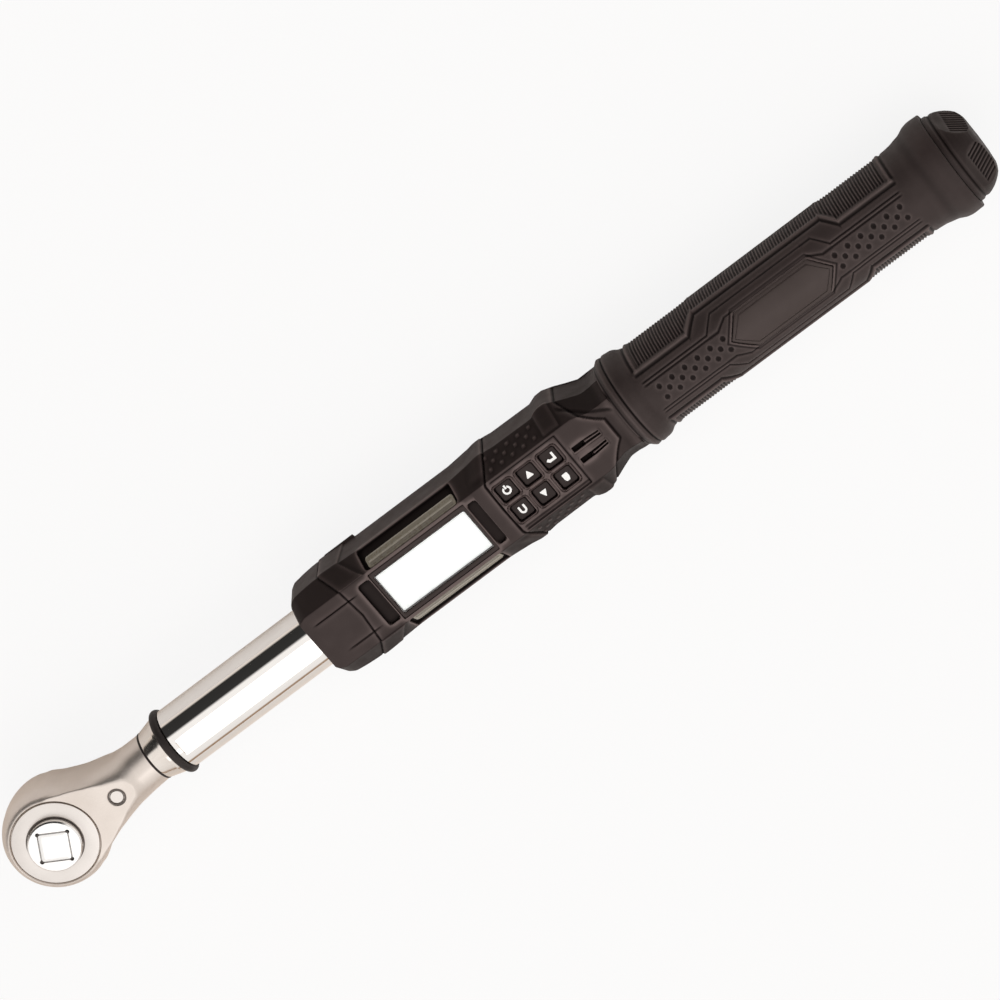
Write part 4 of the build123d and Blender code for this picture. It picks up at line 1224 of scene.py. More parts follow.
    def dress_solids(self, nodes: dict) -> None:
        """Finishes on the gear, drive, pin, pawl, springs, beam and gauges.

        Args:
            nodes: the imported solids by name.
        """
        for name in ("ratchet_gear", "square_drive", "detent_ball"):
            dress(nodes[name], Finish.HUB_STEEL)
        dress(nodes["pawl_pin"], Finish.COVER_STEEL)
        for name in ("pawl", "pawl_spring", "detent_spring", "load_beam", "beam_pins"):
            dress(nodes[name], Finish.HARD_STEEL)
        dress(nodes["strain_gauges"], Finish.GAUGE)


@dataclass
class Shaft:
    """Seal, conical collar, O-ring and chromed tube."""

    tube_r: float = 14.0
    bore_r: float = 12.0
    start: float = 66.0
    end: float = 165.0
    flat_z: float = 13.3
    flat_start: float = 68.5
    flat_end: float = 142.3
    segments: int = 256
    seal: tuple = (53.02, 53.98, 9.06, 11.55)
    collar: tuple = ((54.0, 9.06), (74.0, 9.06), (74.0, 11.94), (66.0, 11.94), (66.0, 12.15), (62.2, 12.15),
                     (62.2, 13.35), (60.9, 13.4), (55.3, 11.9), (54.0, 11.5))
    ring_x: float = 64.1
    ring_r: float = 13.92
    ring_section: float = 1.75

    def tube_surface(self) -> Surface:
        """Tube radius r(angle), cut to flat_z / cos(angle) along its flat, with the bore inside.

        Returns:
            The tube.
        """
        xs = ruled(self.start + 0.5, self.end, 6.0, (self.flat_start, self.flat_end), 0.15)
        turn = np.linspace(0, 2 * math.pi, self.segments, endpoint=False)
        x, a = np.meshgrid(xs, turn, indexing="ij")
        level = np.where(np.cos(a) > 0.5, self.flat_z / np.maximum(np.cos(a), 0.5), self.tube_r)
        on = (x > self.flat_start) & (x < self.flat_end)
        r = np.where(on, np.minimum(self.tube_r, level), self.tube_r)
        rings = [hoop(self.end, self.bore_r, turn), hoop(self.start, self.bore_r, turn),
                 hoop(self.start, self.tube_r - 0.5, turn)]
        return carried(np.concatenate([hoop(x, r, a), np.stack(rings)]), closed_rows=True)

    def build(self) -> None:
        """Makes the four pieces."""
        seal = lathe(rounded_outline(corners_of(*self.seal), 0.3), "X", 128)
        settle(mesh_object("neck_seal_ring", seal), Finish.SEAL, "wrench", "seal_rubber", "neck_seal")
        collar = lathe(rounded_outline(self.collar, 0.35), "X", 160)
        settle(mesh_object("collar_cone", collar), Finish.COLLAR_CHROME, "wrench", "chrome", "neck_collar")
        turn = np.linspace(0, 2 * math.pi, 40, endpoint=False)
        ring = lathe(np.column_stack([self.ring_x + self.ring_section * np.cos(turn),
                                      self.ring_r + self.ring_section * np.sin(turn)]), "X", 160)
        settle(mesh_object("o_ring", ring), Finish.SEAL, "wrench", "seal_rubber", "collar_o_ring")
        tube = mesh_object("shaft_tube", self.tube_surface(), 20.0)
        settle(tube, Finish.CHROME, "wrench", "chrome", "outer_tube")


# ------------------------------------------------------------------ display housing
@dataclass
class Housing:
    """Octagonal display housing, drawn as height over x and the way p round its section.

    p is 0 in the middle of the display face and grows towards +Y, down the bevel, the side
    wall and the lower bevel to the middle of the underside. Lines and bells are given as
    (place, depth, width) where they differ only in those.
    """

    face_half: float = 13.9
    side: float = 21.0
    face_z: float = 17.0
    side_top: float = 8.0
    side_low: float = -9.9
    under_z: float = -17.0
    corner_r: float = 1.1
    wall: float = 2.3
    start: float = 142.8
    parting: float = 234.5
    end: float = 303.0
    bore_r: float = 14.06
    bore_end: float = 165.0
    rear_bore_r: float = 15.05
    rear_bore_start: float = 286.5
    station_x: tuple = (142.8, 143.8, 146.4, 151.5, 157.0, 163.0, 180.0, 229.0, 238.0, 243.0, 247.5, 252.0,
                        272.0, 276.0, 279.5, 284.3, 289.3, 294.3, 303.0)
    station_side: tuple = (17.6, 19.2, 20.9, 21.5, 21.9, 22.0, 21.2, 21.1, 21.9, 22.3, 22.3, 21.7,
                           21.5, 23.0, 23.1, 21.6, 19.5, 17.6, 17.7)
    station_face: tuple = (15.6, 16.1, 16.6, 16.9, 17.0, 17.0, 17.0, 17.0, 17.0, 17.0, 17.0, 17.0,
                           17.0, 17.0, 17.0, 17.0, 17.0, 17.0, 17.0)
    plain_nose_end: float = 145.5
    corner_reach: float = 1.3
    band_front: tuple = (166.6, 165.2, 160.0, 160.6)
    band_rear: tuple = (179.0, 178.0, 176.1, 170.6, 173.4)
    band_rise: float = 0.5
    band_face_rise: float = 0.05
    nose_lines: tuple = ((8.3, 0.5, 151.0), (-8.7, 0.4, 156.0))
    nose_lines_end: float = 166.4
    pads: tuple = ((172.4, 178.4), (229.6, 234.3))
    pad_half: float = 11.0
    window_x: tuple = (179.0, 229.0)
    window_half: float = 12.4
    window_deep: float = 2.0
    bar_middle: float = 204.0
    bar_half: float = 24.3
    bar_deep: float = 1.35
    panel_front_x: tuple = (240.7, 241.0, 247.3, 247.3)
    panel_rear_x: tuple = (297.1, 297.1, 289.3, 283.6, 283.6)
    panel_point: float = 6.2
    rails: tuple = ((12.5, 0.4), (-11.5, 0.4), (-12.8, 0.45))
    rail_x: tuple = (243.6, 276.0)
    cross_line: float = 276.3
    block_x: tuple = (273.4, 280.4)
    valley_from: tuple = (285.0, 20.0)
    valley_run: tuple = (15.0, -10.5)
    key_x: tuple = (246.9, 258.1, 269.4)
    key_y: tuple = (5.6, -4.9)
    key_frame: tuple = (5.1, 4.95, 2.0)
    key_well: tuple = (4.25, 4.25, 1.4)
    key_well_deep: float = 2.0
    slot_y: tuple = (2.6, -3.4)
    mouth_x: float = 281.6
    mouth: tuple = (3.0, 1.15, 0.4)
    groove_x: float = 287.6
    groove: tuple = (4.4, 0.34, 0.3)
    groove_shift: float = 0.75
    bump_rows: tuple = ((17.1, 5, 0.0), (19.95, 4, 2.8), (22.8, 5, 0.0))
    bump_pitch: float = 5.6
    bump_r: float = 0.95
    spans: tuple = ((142.8, 181.0, 0.4), (181.0, 227.0, 1.3), (227.0, 303.0, 0.52))
    way_step: float = 0.72

    def __post_init__(self) -> None:
        """Works out the section's corners and the way round it."""
        self.bevel = math.hypot(self.side - self.face_half, self.face_z - self.side_top)
        self.p_bevel = self.face_half
        self.p_side = self.face_half + self.bevel
        self.p_split = self.p_side + self.side_top - self.side_low
        low_bevel = math.hypot(self.side - self.face_half, self.side_low - self.under_z)
        self.p_under = self.p_split + low_bevel
        self.p_end = self.p_under + self.face_half

    def section(self, x: np.ndarray, p: np.ndarray, inset: np.ndarray) -> np.ndarray:
        """Points of the outside at x and p, moved inwards by inset.

        The section is an octagon whose corners follow the stations along x. Its corners are
        rounded by moving an inner octagon's points out along a normal that turns smoothly
        across each corner. An inset deeper than that radius keeps sharp inner corners.
        across each corner. An inset deeper than that radius keeps sharp inner corners.

        Args:
            x: places along the tool.
            p: ways round the section, negative on the -Y side.
            inset: how far each point lies under the plain section.

        Returns:
            The points, with the grid's shape.
        """
        offsets = np.linspace(-1.0, 1.0, 7)
        side = np.mean([np.interp(x + o, self.station_x, self.station_side) for o in offsets], axis=0)
        side = np.where(x < self.plain_nose_end, np.interp(x, self.station_x, self.station_side), side)
        face = np.interp(x, self.station_x, self.station_face)
        k = face / self.face_z
        half = self.face_half * np.minimum(1.0, side / self.side)
        r = np.maximum(self.corner_r, inset)
        marks = np.array([0.0, self.p_bevel, self.p_side, self.p_split, self.p_under, self.p_end])
        ys = np.stack([0 * side, half, side, side, half, 0 * side], -1)
        low = self.under_z * k
        zs = np.stack([face, face, self.side_top * k, self.side_low * k, low, low], -1)
        dy = np.diff(ys, axis=-1)
        dz = np.diff(zs, axis=-1)
        length = np.hypot(dy, dz)
        ny = -dz / length
        nz = dy / length
        q = np.abs(p)
        seg = np.clip(np.searchsorted(marks, q, side="right") - 1, 0, 4)
        t = (q - marks[seg]) / (marks[seg + 1] - marks[seg])
        y = picked(ys, seg) + t * picked(dy, seg)
        z = picked(zs, seg) + t * picked(dz, seg)
        flat_y = picked(ny, seg)
        flat_z = picked(nz, seg)
        cy = flat_y
        cz = flat_z
        near = self.corner_reach
        for number in (1, 2, 3, 4):
            s = np.clip((q - marks[number]) / near, -1.0, 1.0)
            w = 0.5 + 0.5 * np.sin(s * math.pi / 2)
            on = np.abs(q - marks[number]) < near
            by = (1 - w) * ny[..., number - 1] + w * ny[..., number]
            bz = (1 - w) * nz[..., number - 1] + w * nz[..., number]
            size = np.hypot(by, bz)
            cy = np.where(on, by / size, cy)
            cz = np.where(on, bz / size, cz)
        inner_y = y - r * flat_y
        inner_z = z - r * flat_z
        for number in (1, 2, 3, 4):
            on = np.abs(q - marks[number]) < near
            turn = ny[..., number - 1] * ny[..., number] + nz[..., number - 1] * nz[..., number]
            my = (ny[..., number - 1] + ny[..., number]) / (1 + turn)
            mz = (nz[..., number - 1] + nz[..., number]) / (1 + turn)
            corner_y = ys[..., number] - r * my
            corner_z = zs[..., number] - r * mz
            f = np.clip(np.abs(q - marks[number]) / near, 0.0, 1.0)
            edge_y = inner_y - corner_y
            edge_z = inner_z - corner_z
            inner_y = np.where(on, corner_y + edge_y * f * f * (2 - f), inner_y)
            inner_z = np.where(on, corner_z + edge_z * f * f * (2 - f), inner_z)
        out = r - inset
        y = inner_y + out * cy
        z = inner_z + out * cz
        return np.stack([x, np.where(p < 0, -y, y), z], -1)

    def band_edges(self, q: np.ndarray) -> tuple:
        """The raised band's front and rear edges along x.

        Args:
            q: ways round the section, without their sign.

        Returns:
            The two edges at each way.
        """
        marks = (0, self.p_bevel, self.p_side, self.p_split)
        front = np.interp(q, marks, self.band_front)
        rear = np.interp(q, (*marks[:2], self.p_bevel + 2.1, *marks[2:]), self.band_rear)
        return front, rear

    def panel_front(self, q: np.ndarray) -> np.ndarray:
        """Where the keypad panel starts along x."""
        marks = (0, self.p_bevel - 1.5, self.p_side, self.p_split)
        return np.interp(q, marks, self.panel_front_x)

    def panel_rear(self, q: np.ndarray) -> np.ndarray:
        """Where the keypad panel ends along x: a half hexagon."""
        marks = (0, self.panel_point, self.p_bevel, self.p_side, self.p_split)
        return np.interp(q, marks, self.panel_rear_x)

    def relief(self, x: np.ndarray, p: np.ndarray) -> np.ndarray:
        """Sum of the band, sunk windows, seams, key wells, slots and bumps.

        Args:
            x: places along the tool.
            p: ways round the section.

        Returns:
            How far the surface lies under the plain section at each place.
        """
        depth = self.nose_relief(x, p)
        depth += self.window_relief(x, p)
        depth += self.panel_relief(x, p)
        return depth + self.key_relief(x, p)

    def nose_relief(self, x: np.ndarray, p: np.ndarray) -> np.ndarray:
        """Depth of the raised band behind the nose, its seam and the two lines before it.

        Args:
            x: places along the tool.
            p: ways round the section.

        Returns:
            The depth at each place.
        """
        q = np.abs(p)
        on_face = 1.0 - smoothstep(self.p_bevel - 0.2, self.p_bevel + 0.4, q)
        front, rear = self.band_edges(q)
        band = smoothstep(-0.35, 0.35, x - front) * (1 - smoothstep(-0.35, 0.35, x - rear))
        depth = -band * (self.band_rise * (1.0 - on_face) + self.band_face_rise * on_face)
        depth += 0.6 * bell(x - front, 0.34) * (q < self.p_split - 2)
        for way, deep, start in self.nose_lines:
            depth += deep * bell(p - way, 0.26) * window(start, self.nose_lines_end, x, 5.0)
        return depth

    def window_relief(self, x: np.ndarray, p: np.ndarray) -> np.ndarray:
        """Depth of the pads beside the display, its window and the light bars' windows.

        Args:
            x: places along the tool.
            p: ways round the section.

        Returns:
            The depth at each place.
        """
        depth = np.zeros_like(x)
        for low, high in self.pads:
            pad = rounded_square(x - (low + high) / 2, p, (high - low) / 2, self.pad_half, 1.6)
            depth += sunk(pad, 1.1)
        low, high = self.window_x
        depth += sunk(rounded_square(x - (low + high) / 2, p, (high - low) / 2, self.window_half, 0.6),
                      self.window_deep, 0.1)
        low, high = self.p_bevel + 0.25, self.p_side + 0.4
        down = np.abs(p) - (low + high) / 2
        bar = rounded_square(x - self.bar_middle, down, self.bar_half, (high - low) / 2, 2.4)
        return depth + sunk(bar, self.bar_deep)

    def panel_relief(self, x: np.ndarray, p: np.ndarray) -> np.ndarray:
        """Depth of the keypad panel's seams, the step before it and the end behind it.

        Args:
            x: places along the tool.
            p: ways round the section.

        Returns:
            The depth at each place.
        """
        q = np.abs(p)
        seam = x - self.panel_front(q)
        slant = np.where((q > self.p_bevel - 1.5) & (q < self.p_side), 0.88, 1.0)
        depth = 0.8 * bell(seam * slant, 0.38)
        ramp = smoothstep(-9.5, -3.0, seam) * (1 - smoothstep(-0.25, 0.1, seam))
        depth -= 0.45 * ramp * smoothstep(15.5, 19.0, q)
        rail = window(*self.rail_x, x, 0.6)
        for way, deep in self.rails:
            depth += deep * bell(p - way, 0.2) * rail
        depth += 0.5 * bell(x - self.cross_line, 0.25) * window(-12.6, 12.4, p, 0.4)
        end = x - self.panel_rear(q)
        flank = (q > self.panel_point) & (q < self.p_bevel)
        end = end * np.where(flank, 0.70, np.where(q < self.p_side, 0.9, 1.0))
        depth += 0.7 * bell(end, 0.38)
        depth += 0.4 * smoothstep(-0.2, 0.5, end) * (1 - smoothstep(297.8, 302.0, x)) * (q < self.p_split)
        run_x, run_q = self.valley_run
        valley = (x - self.valley_from[0]) * run_q - (q - self.valley_from[1]) * run_x
        depth += 0.45 * bell(valley / math.hypot(run_x, run_q), 0.8) * window(284.0, 300.5, x, 2.0) * (p > 0)
        block = window(*self.block_x, x, 0.9) * window(self.p_bevel + 1.6, self.p_side + 1.0, q, 0.8)
        return depth - 0.45 * block

    def key_relief(self, x: np.ndarray, p: np.ndarray) -> np.ndarray:
        """Depth of the framed key wells, the sounder's slots and the bumps on both bevels.

        Each slot is a deep mouth that splits into two fine grooves.

        Args:
            x: places along the tool.
            p: ways round the section.

        Returns:
            The depth at each place.
        """
        q = np.abs(p)
        depth = np.zeros_like(x)
        for kx in self.key_x:
            for ky in self.key_y:
                frame = rounded_square(x - kx, p - ky, *self.key_frame)
                depth += 0.5 * bell(frame, 0.24) - 0.15 * bell(frame + 0.6, 0.25)
                depth += sunk(rounded_square(x - kx, p - ky, *self.key_well), self.key_well_deep, 0.1)
        for y in self.slot_y:
            depth += sunk(rounded_square(x - self.mouth_x, p - y, *self.mouth), 1.6, 0.15)
            for shift in (-self.groove_shift, self.groove_shift):
                depth += sunk(rounded_square(x - self.groove_x, p - y - shift, *self.groove), 1.1, 0.15)
            depth += 0.18 * bell(rounded_square(x - 285.3, p - y, 7.2, 2.1, 0.8), 0.2)
        behind = x - self.panel_front(q) > 0.4
        for way, count, shift in self.bump_rows:
            for number in range(count):
                away = np.hypot(x - (self.key_x[0] + shift + self.bump_pitch * number), q - way)
                depth -= dome(away, self.bump_r, 0.4) * behind
        return depth

    def x_lines(self, low: float, high: float) -> np.ndarray:
        """Grid lines along x, close together at each step of the relief.

        Args:
            low: first line.
            high: last line.

        Returns:
            The lines.
        """
        edges = [*self.pads[0], *self.window_x, *self.pads[1], self.bar_middle - self.bar_half,
                 self.bar_middle + self.bar_half, self.panel_front_x[0], self.cross_line,
                 self.mouth_x - self.mouth[0], self.mouth_x + self.mouth[0], self.panel_rear_x[0]]
        for kx in self.key_x:
            edges += [kx + s * half for half in (self.key_frame[0], self.key_well[0]) for s in (-1, 1)]
        lines = []
        for first, last, step in self.spans:
            if min(last, high) > max(first, low):
                lines.append(ruled(max(first, low), min(last, high), step, tuple(edges), 0.11))
        return np.unique(np.concatenate(lines))

    def p_lines(self, low: float, high: float, keypad: bool) -> np.ndarray:
        """Grid lines round the section, close together at each step of the relief.

        Args:
            low: first line.
            high: last line.
            keypad: whether the keys lie in this length, and not the display.

        Returns:
            The lines.
        """
        edges = []
        if keypad:
            for ky in self.key_y:
                edges += [ky + s * half for half in (self.key_frame[1], self.key_well[1]) for s in (-1, 1)]
            edges += [way for way, _ in self.rails]
            edges += [y + s * self.mouth[1] for y in self.slot_y for s in (-1, 0, 1)]
        else:
            mirrored = [self.p_bevel + 0.25, self.p_side + 0.4, self.window_half, self.pad_half]
            mirrored += [abs(way) for way, _, _ in self.nose_lines]
            edges += [s * m for m in mirrored for s in (-1, 1)]
        near = [s * m for m in (self.p_bevel, self.p_side) for s in (-1, 1)]
        lines = ruled(low, high, self.way_step, tuple(edges), 0.11)
        extra = np.array([n + o for n in near for o in (-1.2, -0.8, -0.4, 0.0, 0.4, 0.8, 1.2)])
        extra = extra[(extra > low) & (extra < high)]
        return np.unique(np.round(np.concatenate([lines, extra]), 3))

    def inner(self, x: np.ndarray, p: np.ndarray) -> np.ndarray:
        """The inside: a plain inset section, round where it holds the tube or the sleeve.

        Args:
            x: places along the tool.
            p: ways round the section.

        Returns:
            The inside's points, with the grid's shape.
        """
        plain = self.section(x, p, np.full_like(x, self.wall))
        angle = np.arctan2(plain[..., 1], plain[..., 2])
        held = hoop(x, np.where(x < self.bore_end, self.bore_r, self.rear_bore_r), angle)
        ends = (x < self.bore_end) | (x > self.rear_bore_start)
        return np.where(ends[..., None], held, plain)

    def top_piece(self, name: str, low: float, high: float, keypad: bool) -> bpy.types.Object:
        """One length of the upper shell.

        Args:
            name: the piece's name.
            low: where it starts along the tool.
            high: where it ends.
            keypad: whether the keys lie in it.

        Returns:
            The new piece, with its hollow measure, raised on the bevels as painted shade.
        """
        xs = self.x_lines(low, high)
        ps = self.p_lines(-self.p_split, self.p_split, keypad)
        x, p = np.meshgrid(xs, ps, indexing="ij")
        depth = self.relief(x, p)
        outer = self.section(x, p, depth)
        made = mesh_object(name, shell(outer, self.inner(x, p)), 30.0)
        # Painted shade on the bevels: the hollow measure is raised there, so that they render darker.
        bevel = smoothstep(self.p_bevel - 0.3, self.p_bevel + 0.3, np.abs(p))
        bevel = bevel * (1 - smoothstep(self.p_side - 0.4, self.p_side + 0.4, np.abs(p)))
        mark_hollows(made, hollows(depth, xs, ps) + 0.2 * bevel)
        return made

    def build(self) -> None:
        """Makes the two lengths of the upper shell."""
        front = self.top_piece("housing_front", self.start, self.parting, False)
        settle(front, Finish.HOUSING, "wrench", "housing_black", "housing_top")
        rear = self.top_piece("housing_keypad", self.parting, self.end, True)
        settle(rear, Finish.HOUSING, "wrench", "housing_black")

    def bevel_axes(self, sign: int) -> tuple:
        """Origin and axes of the bevel's middle line.

        Args:
            sign: 1 for the +Y bevel, -1 for the other.

        Returns:
            The origin, and the directions along x, down the bevel and out of it.
        """
        origin = np.array([self.bar_middle, sign * (self.side + self.face_half) / 2,
                           (self.face_z + self.side_top) / 2])
        run = (self.side - self.face_half) / self.bevel
        fall = (self.face_z - self.side_top) / self.bevel
        return (origin, np.array([1.0, 0, 0]), np.array([0, sign * run, -fall]),
                np.array([0, sign * fall, run]))


@dataclass
class Display:
    """Frame, display panel, clear lens and the two light bars."""

    housing: Housing
    lens_x: tuple = (180.8, 227.5)
    lens_half: float = 9.8
    floor_z: float = 15.0
    face_z: float = 17.0
    middle: float = 204.15
    ring_steps: tuple = ((1.62, -1.98), (1.62, -0.25), (1.42, -0.04), (0.5, -0.04), (0.38, -0.14),
                         (0.3, -0.6), (-0.05, -0.6), (-0.1, -0.75), (-0.1, -1.98))
    pipes: tuple = ((-22.4, 23.4, -5.0, 0.8, -1.4, -0.25, 1.3, 0.25),)
    # Lighter strips that paint highlight lines along the light bars.
    lines: tuple = ((-21.4, 22.4, -2.75, -1.95, -0.6, 0.0, 0.35, 0.15),
                    (-21.6, 22.6, 0.15, 0.6, -0.6, -0.12, 0.2, 0.08))
    # Darker strips that paint shade on the light bars.
    shade_strips: tuple = ((-21.2, 22.2, -4.55, -2.95, -0.6, -0.2, 0.5, 0.04),)

    def outline(self, half_x: float, half_y: float, corner: float) -> np.ndarray:
        """Rounded rectangle about the lens's middle."""
        corners = corners_of(self.middle - half_x, self.middle + half_x, -half_y, half_y)
        return rounded_outline(corners, corner, 6)

    def frame_surface(self) -> Surface:
        """A rectangular ring: its section is carried round the lens, stepping down to a ledge.

        Returns:
            The ring.
        """
        half_x = (self.lens_x[1] - self.lens_x[0]) / 2
        rows = []
        for grow, drop in self.ring_steps:
            ring = self.outline(half_x + grow, self.lens_half + grow * 1.55, 0.7 + max(grow, 0) * 0.3)
            rows.append(np.column_stack([ring, np.full(len(ring), self.face_z + drop)]))
        return carried(np.stack(rows), closed_rows=True)

    def strips(self, boxes: tuple) -> Surface:
        """Rounded strips lying on both bevels.

        Args:
            boxes: for each strip its two ends, its two edges down the bevel, its underside and
                top, its corner radius and its edge radius.

        Returns:
            All strips as one set.
        """
        every = None
        for sign in (1, -1):
            axes = self.housing.bevel_axes(sign)
            for *box, low, high, corner, edge in boxes:
                strip = seated(plate(rounded_outline(corners_of(*box), corner, 6), low, high, edge), *axes)
                every = strip if every is None else every.joined(strip)
        return every

    def build(self) -> None:
        """Makes the display's pieces."""
        frame = mesh_object("display_surround", self.frame_surface())
        settle(frame, Finish.FRAME, "wrench", "frame_black", "display_frame")
        half_x = (self.lens_x[1] - self.lens_x[0]) / 2
        floor, face = self.floor_z, self.face_z
        panel = plate(self.outline(half_x - 0.1, self.lens_half - 0.1, 0.4), floor + 0.03, floor + 0.5, 0.1)
        settle(mesh_object("display_panel", panel), Finish.DISPLAY, "wrench", "lcd_white", "lcd_module")
        lens = plate(self.outline(half_x + 0.25, self.lens_half + 0.4, 0.6), face - 0.55, face - 0.12, 0.12)
        settle(mesh_object("display_window", lens), Finish.CLEAR, "wrench", "lens_clear", "display_lens")
        # The lighter and darker strips are painted highlight and painted shade on the light bars.
        for name, finish, boxes, replaced in (
                ("light_pipes", Finish.LIGHT_PIPE, self.pipes, ("light_bars",)),
                ("pipe_highlight_strips", Finish.LIGHT_LINE, self.lines, ()),
                ("pipe_shade_strips", Finish.LIGHT_TROUGH, self.shade_strips, ())):
            settle(mesh_object(name, self.strips(boxes)), finish, "wrench", "bar_olive", *replaced)


class KeyMark(Enum):
    """What is drawn on a key."""

    POWER = "power"
    UP = "up"
    ENTER = "enter"
    CUP = "cup"
    DOWN = "down"
    BLOCK = "block"


@dataclass
class Keypad:
    """Six push keys with their marks."""

    housing: Housing
    cap: float = 7.7
    floor: float = 15.0
    top: float = 15.95
    mark: float = 0.09
    foot: float = 0.2

    def outline_of(self, mark: KeyMark) -> list:
        """Outlines of a mark about 0,0, with +X up the key's own right.

        Args:
            mark: which mark.

        Returns:
            One (n, 2) array for each of its parts.
        """
        if mark is KeyMark.POWER:
            turn = np.linspace(math.radians(118), math.radians(422), 40)
            outer = np.column_stack([1.95 * np.cos(turn), 1.95 * np.sin(turn)])
            inner = np.column_stack([1.15 * np.cos(turn[::-1]), 1.15 * np.sin(turn[::-1])])
            return [np.concatenate([outer, inner]), np.array(corners_of(-0.4, 0.4, 0.7, 2.5))]
        if mark is KeyMark.UP:
            return [rounded_outline([(-1.75, -1.45), (1.75, -1.45), (0, 1.85)], 0.25)]
        if mark is KeyMark.DOWN:
            return [rounded_outline([(-1.6, 1.3), (0, -1.8), (1.6, 1.3)], 0.25)]
        if mark is KeyMark.ENTER:
            return [rounded_outline([(-2.4, -0.6), (-1.3, -1.7), (2.0, -1.7), (2.0, 1.9), (1.05, 1.9),
                                     (1.05, -0.6), (-0.6, -0.6), (-1.3, 0.2)], 0.12)]
        if mark is KeyMark.CUP:
            turn = np.linspace(math.pi, 2 * math.pi, 20)
            outer = np.column_stack([1.6 * np.cos(turn), 1.6 * np.sin(turn) - 0.4])
            inner = np.column_stack([0.75 * np.cos(turn[::-1]), 0.75 * np.sin(turn[::-1]) - 0.4])
            return [np.concatenate([[(-1.6, 1.7)], outer, [(1.6, 1.7), (0.75, 1.7)], inner,
                                    [(-0.75, 1.7)]])]
        return [rounded_outline([(-1.3, 1.6), (-1.3, -0.6), (-0.8, -1.9), (0.8, -1.9), (1.3, -0.6),
                                 (1.3, 1.6)], 0.5)]

    def build(self) -> None:
        """Makes each key and its mark, riding together."""
        names = (("key_power", "key_up", "key_enter"), ("key_units", "key_down", "key_memory"))
        marks = ((KeyMark.POWER, KeyMark.UP, KeyMark.ENTER), (KeyMark.CUP, KeyMark.DOWN, KeyMark.BLOCK))
        half = self.cap / 2
        for y, row, drawn in zip(self.housing.key_y, names, marks):
            for x, name, mark in zip(self.housing.key_x, row, drawn):
                square = rounded_outline(corners_of(x - half, x + half, y - half, y + half), 1.3, 6)
                cap = plate(square, self.floor - 0.6, self.top, 0.45, 0.18)
                settle(mesh_object(f"{name}_cap", cap), Finish.KEY, name, "key_black", name)
                both = None
                for outline in self.outline_of(mark):
                    part = prism(outline + np.array([x, y]), self.top - self.foot, self.top + self.mark)
                    both = part if both is None else both.joined(part)
                settle(mesh_object(f"{name}_mark", both), Finish.INK, name, "lcd_white")


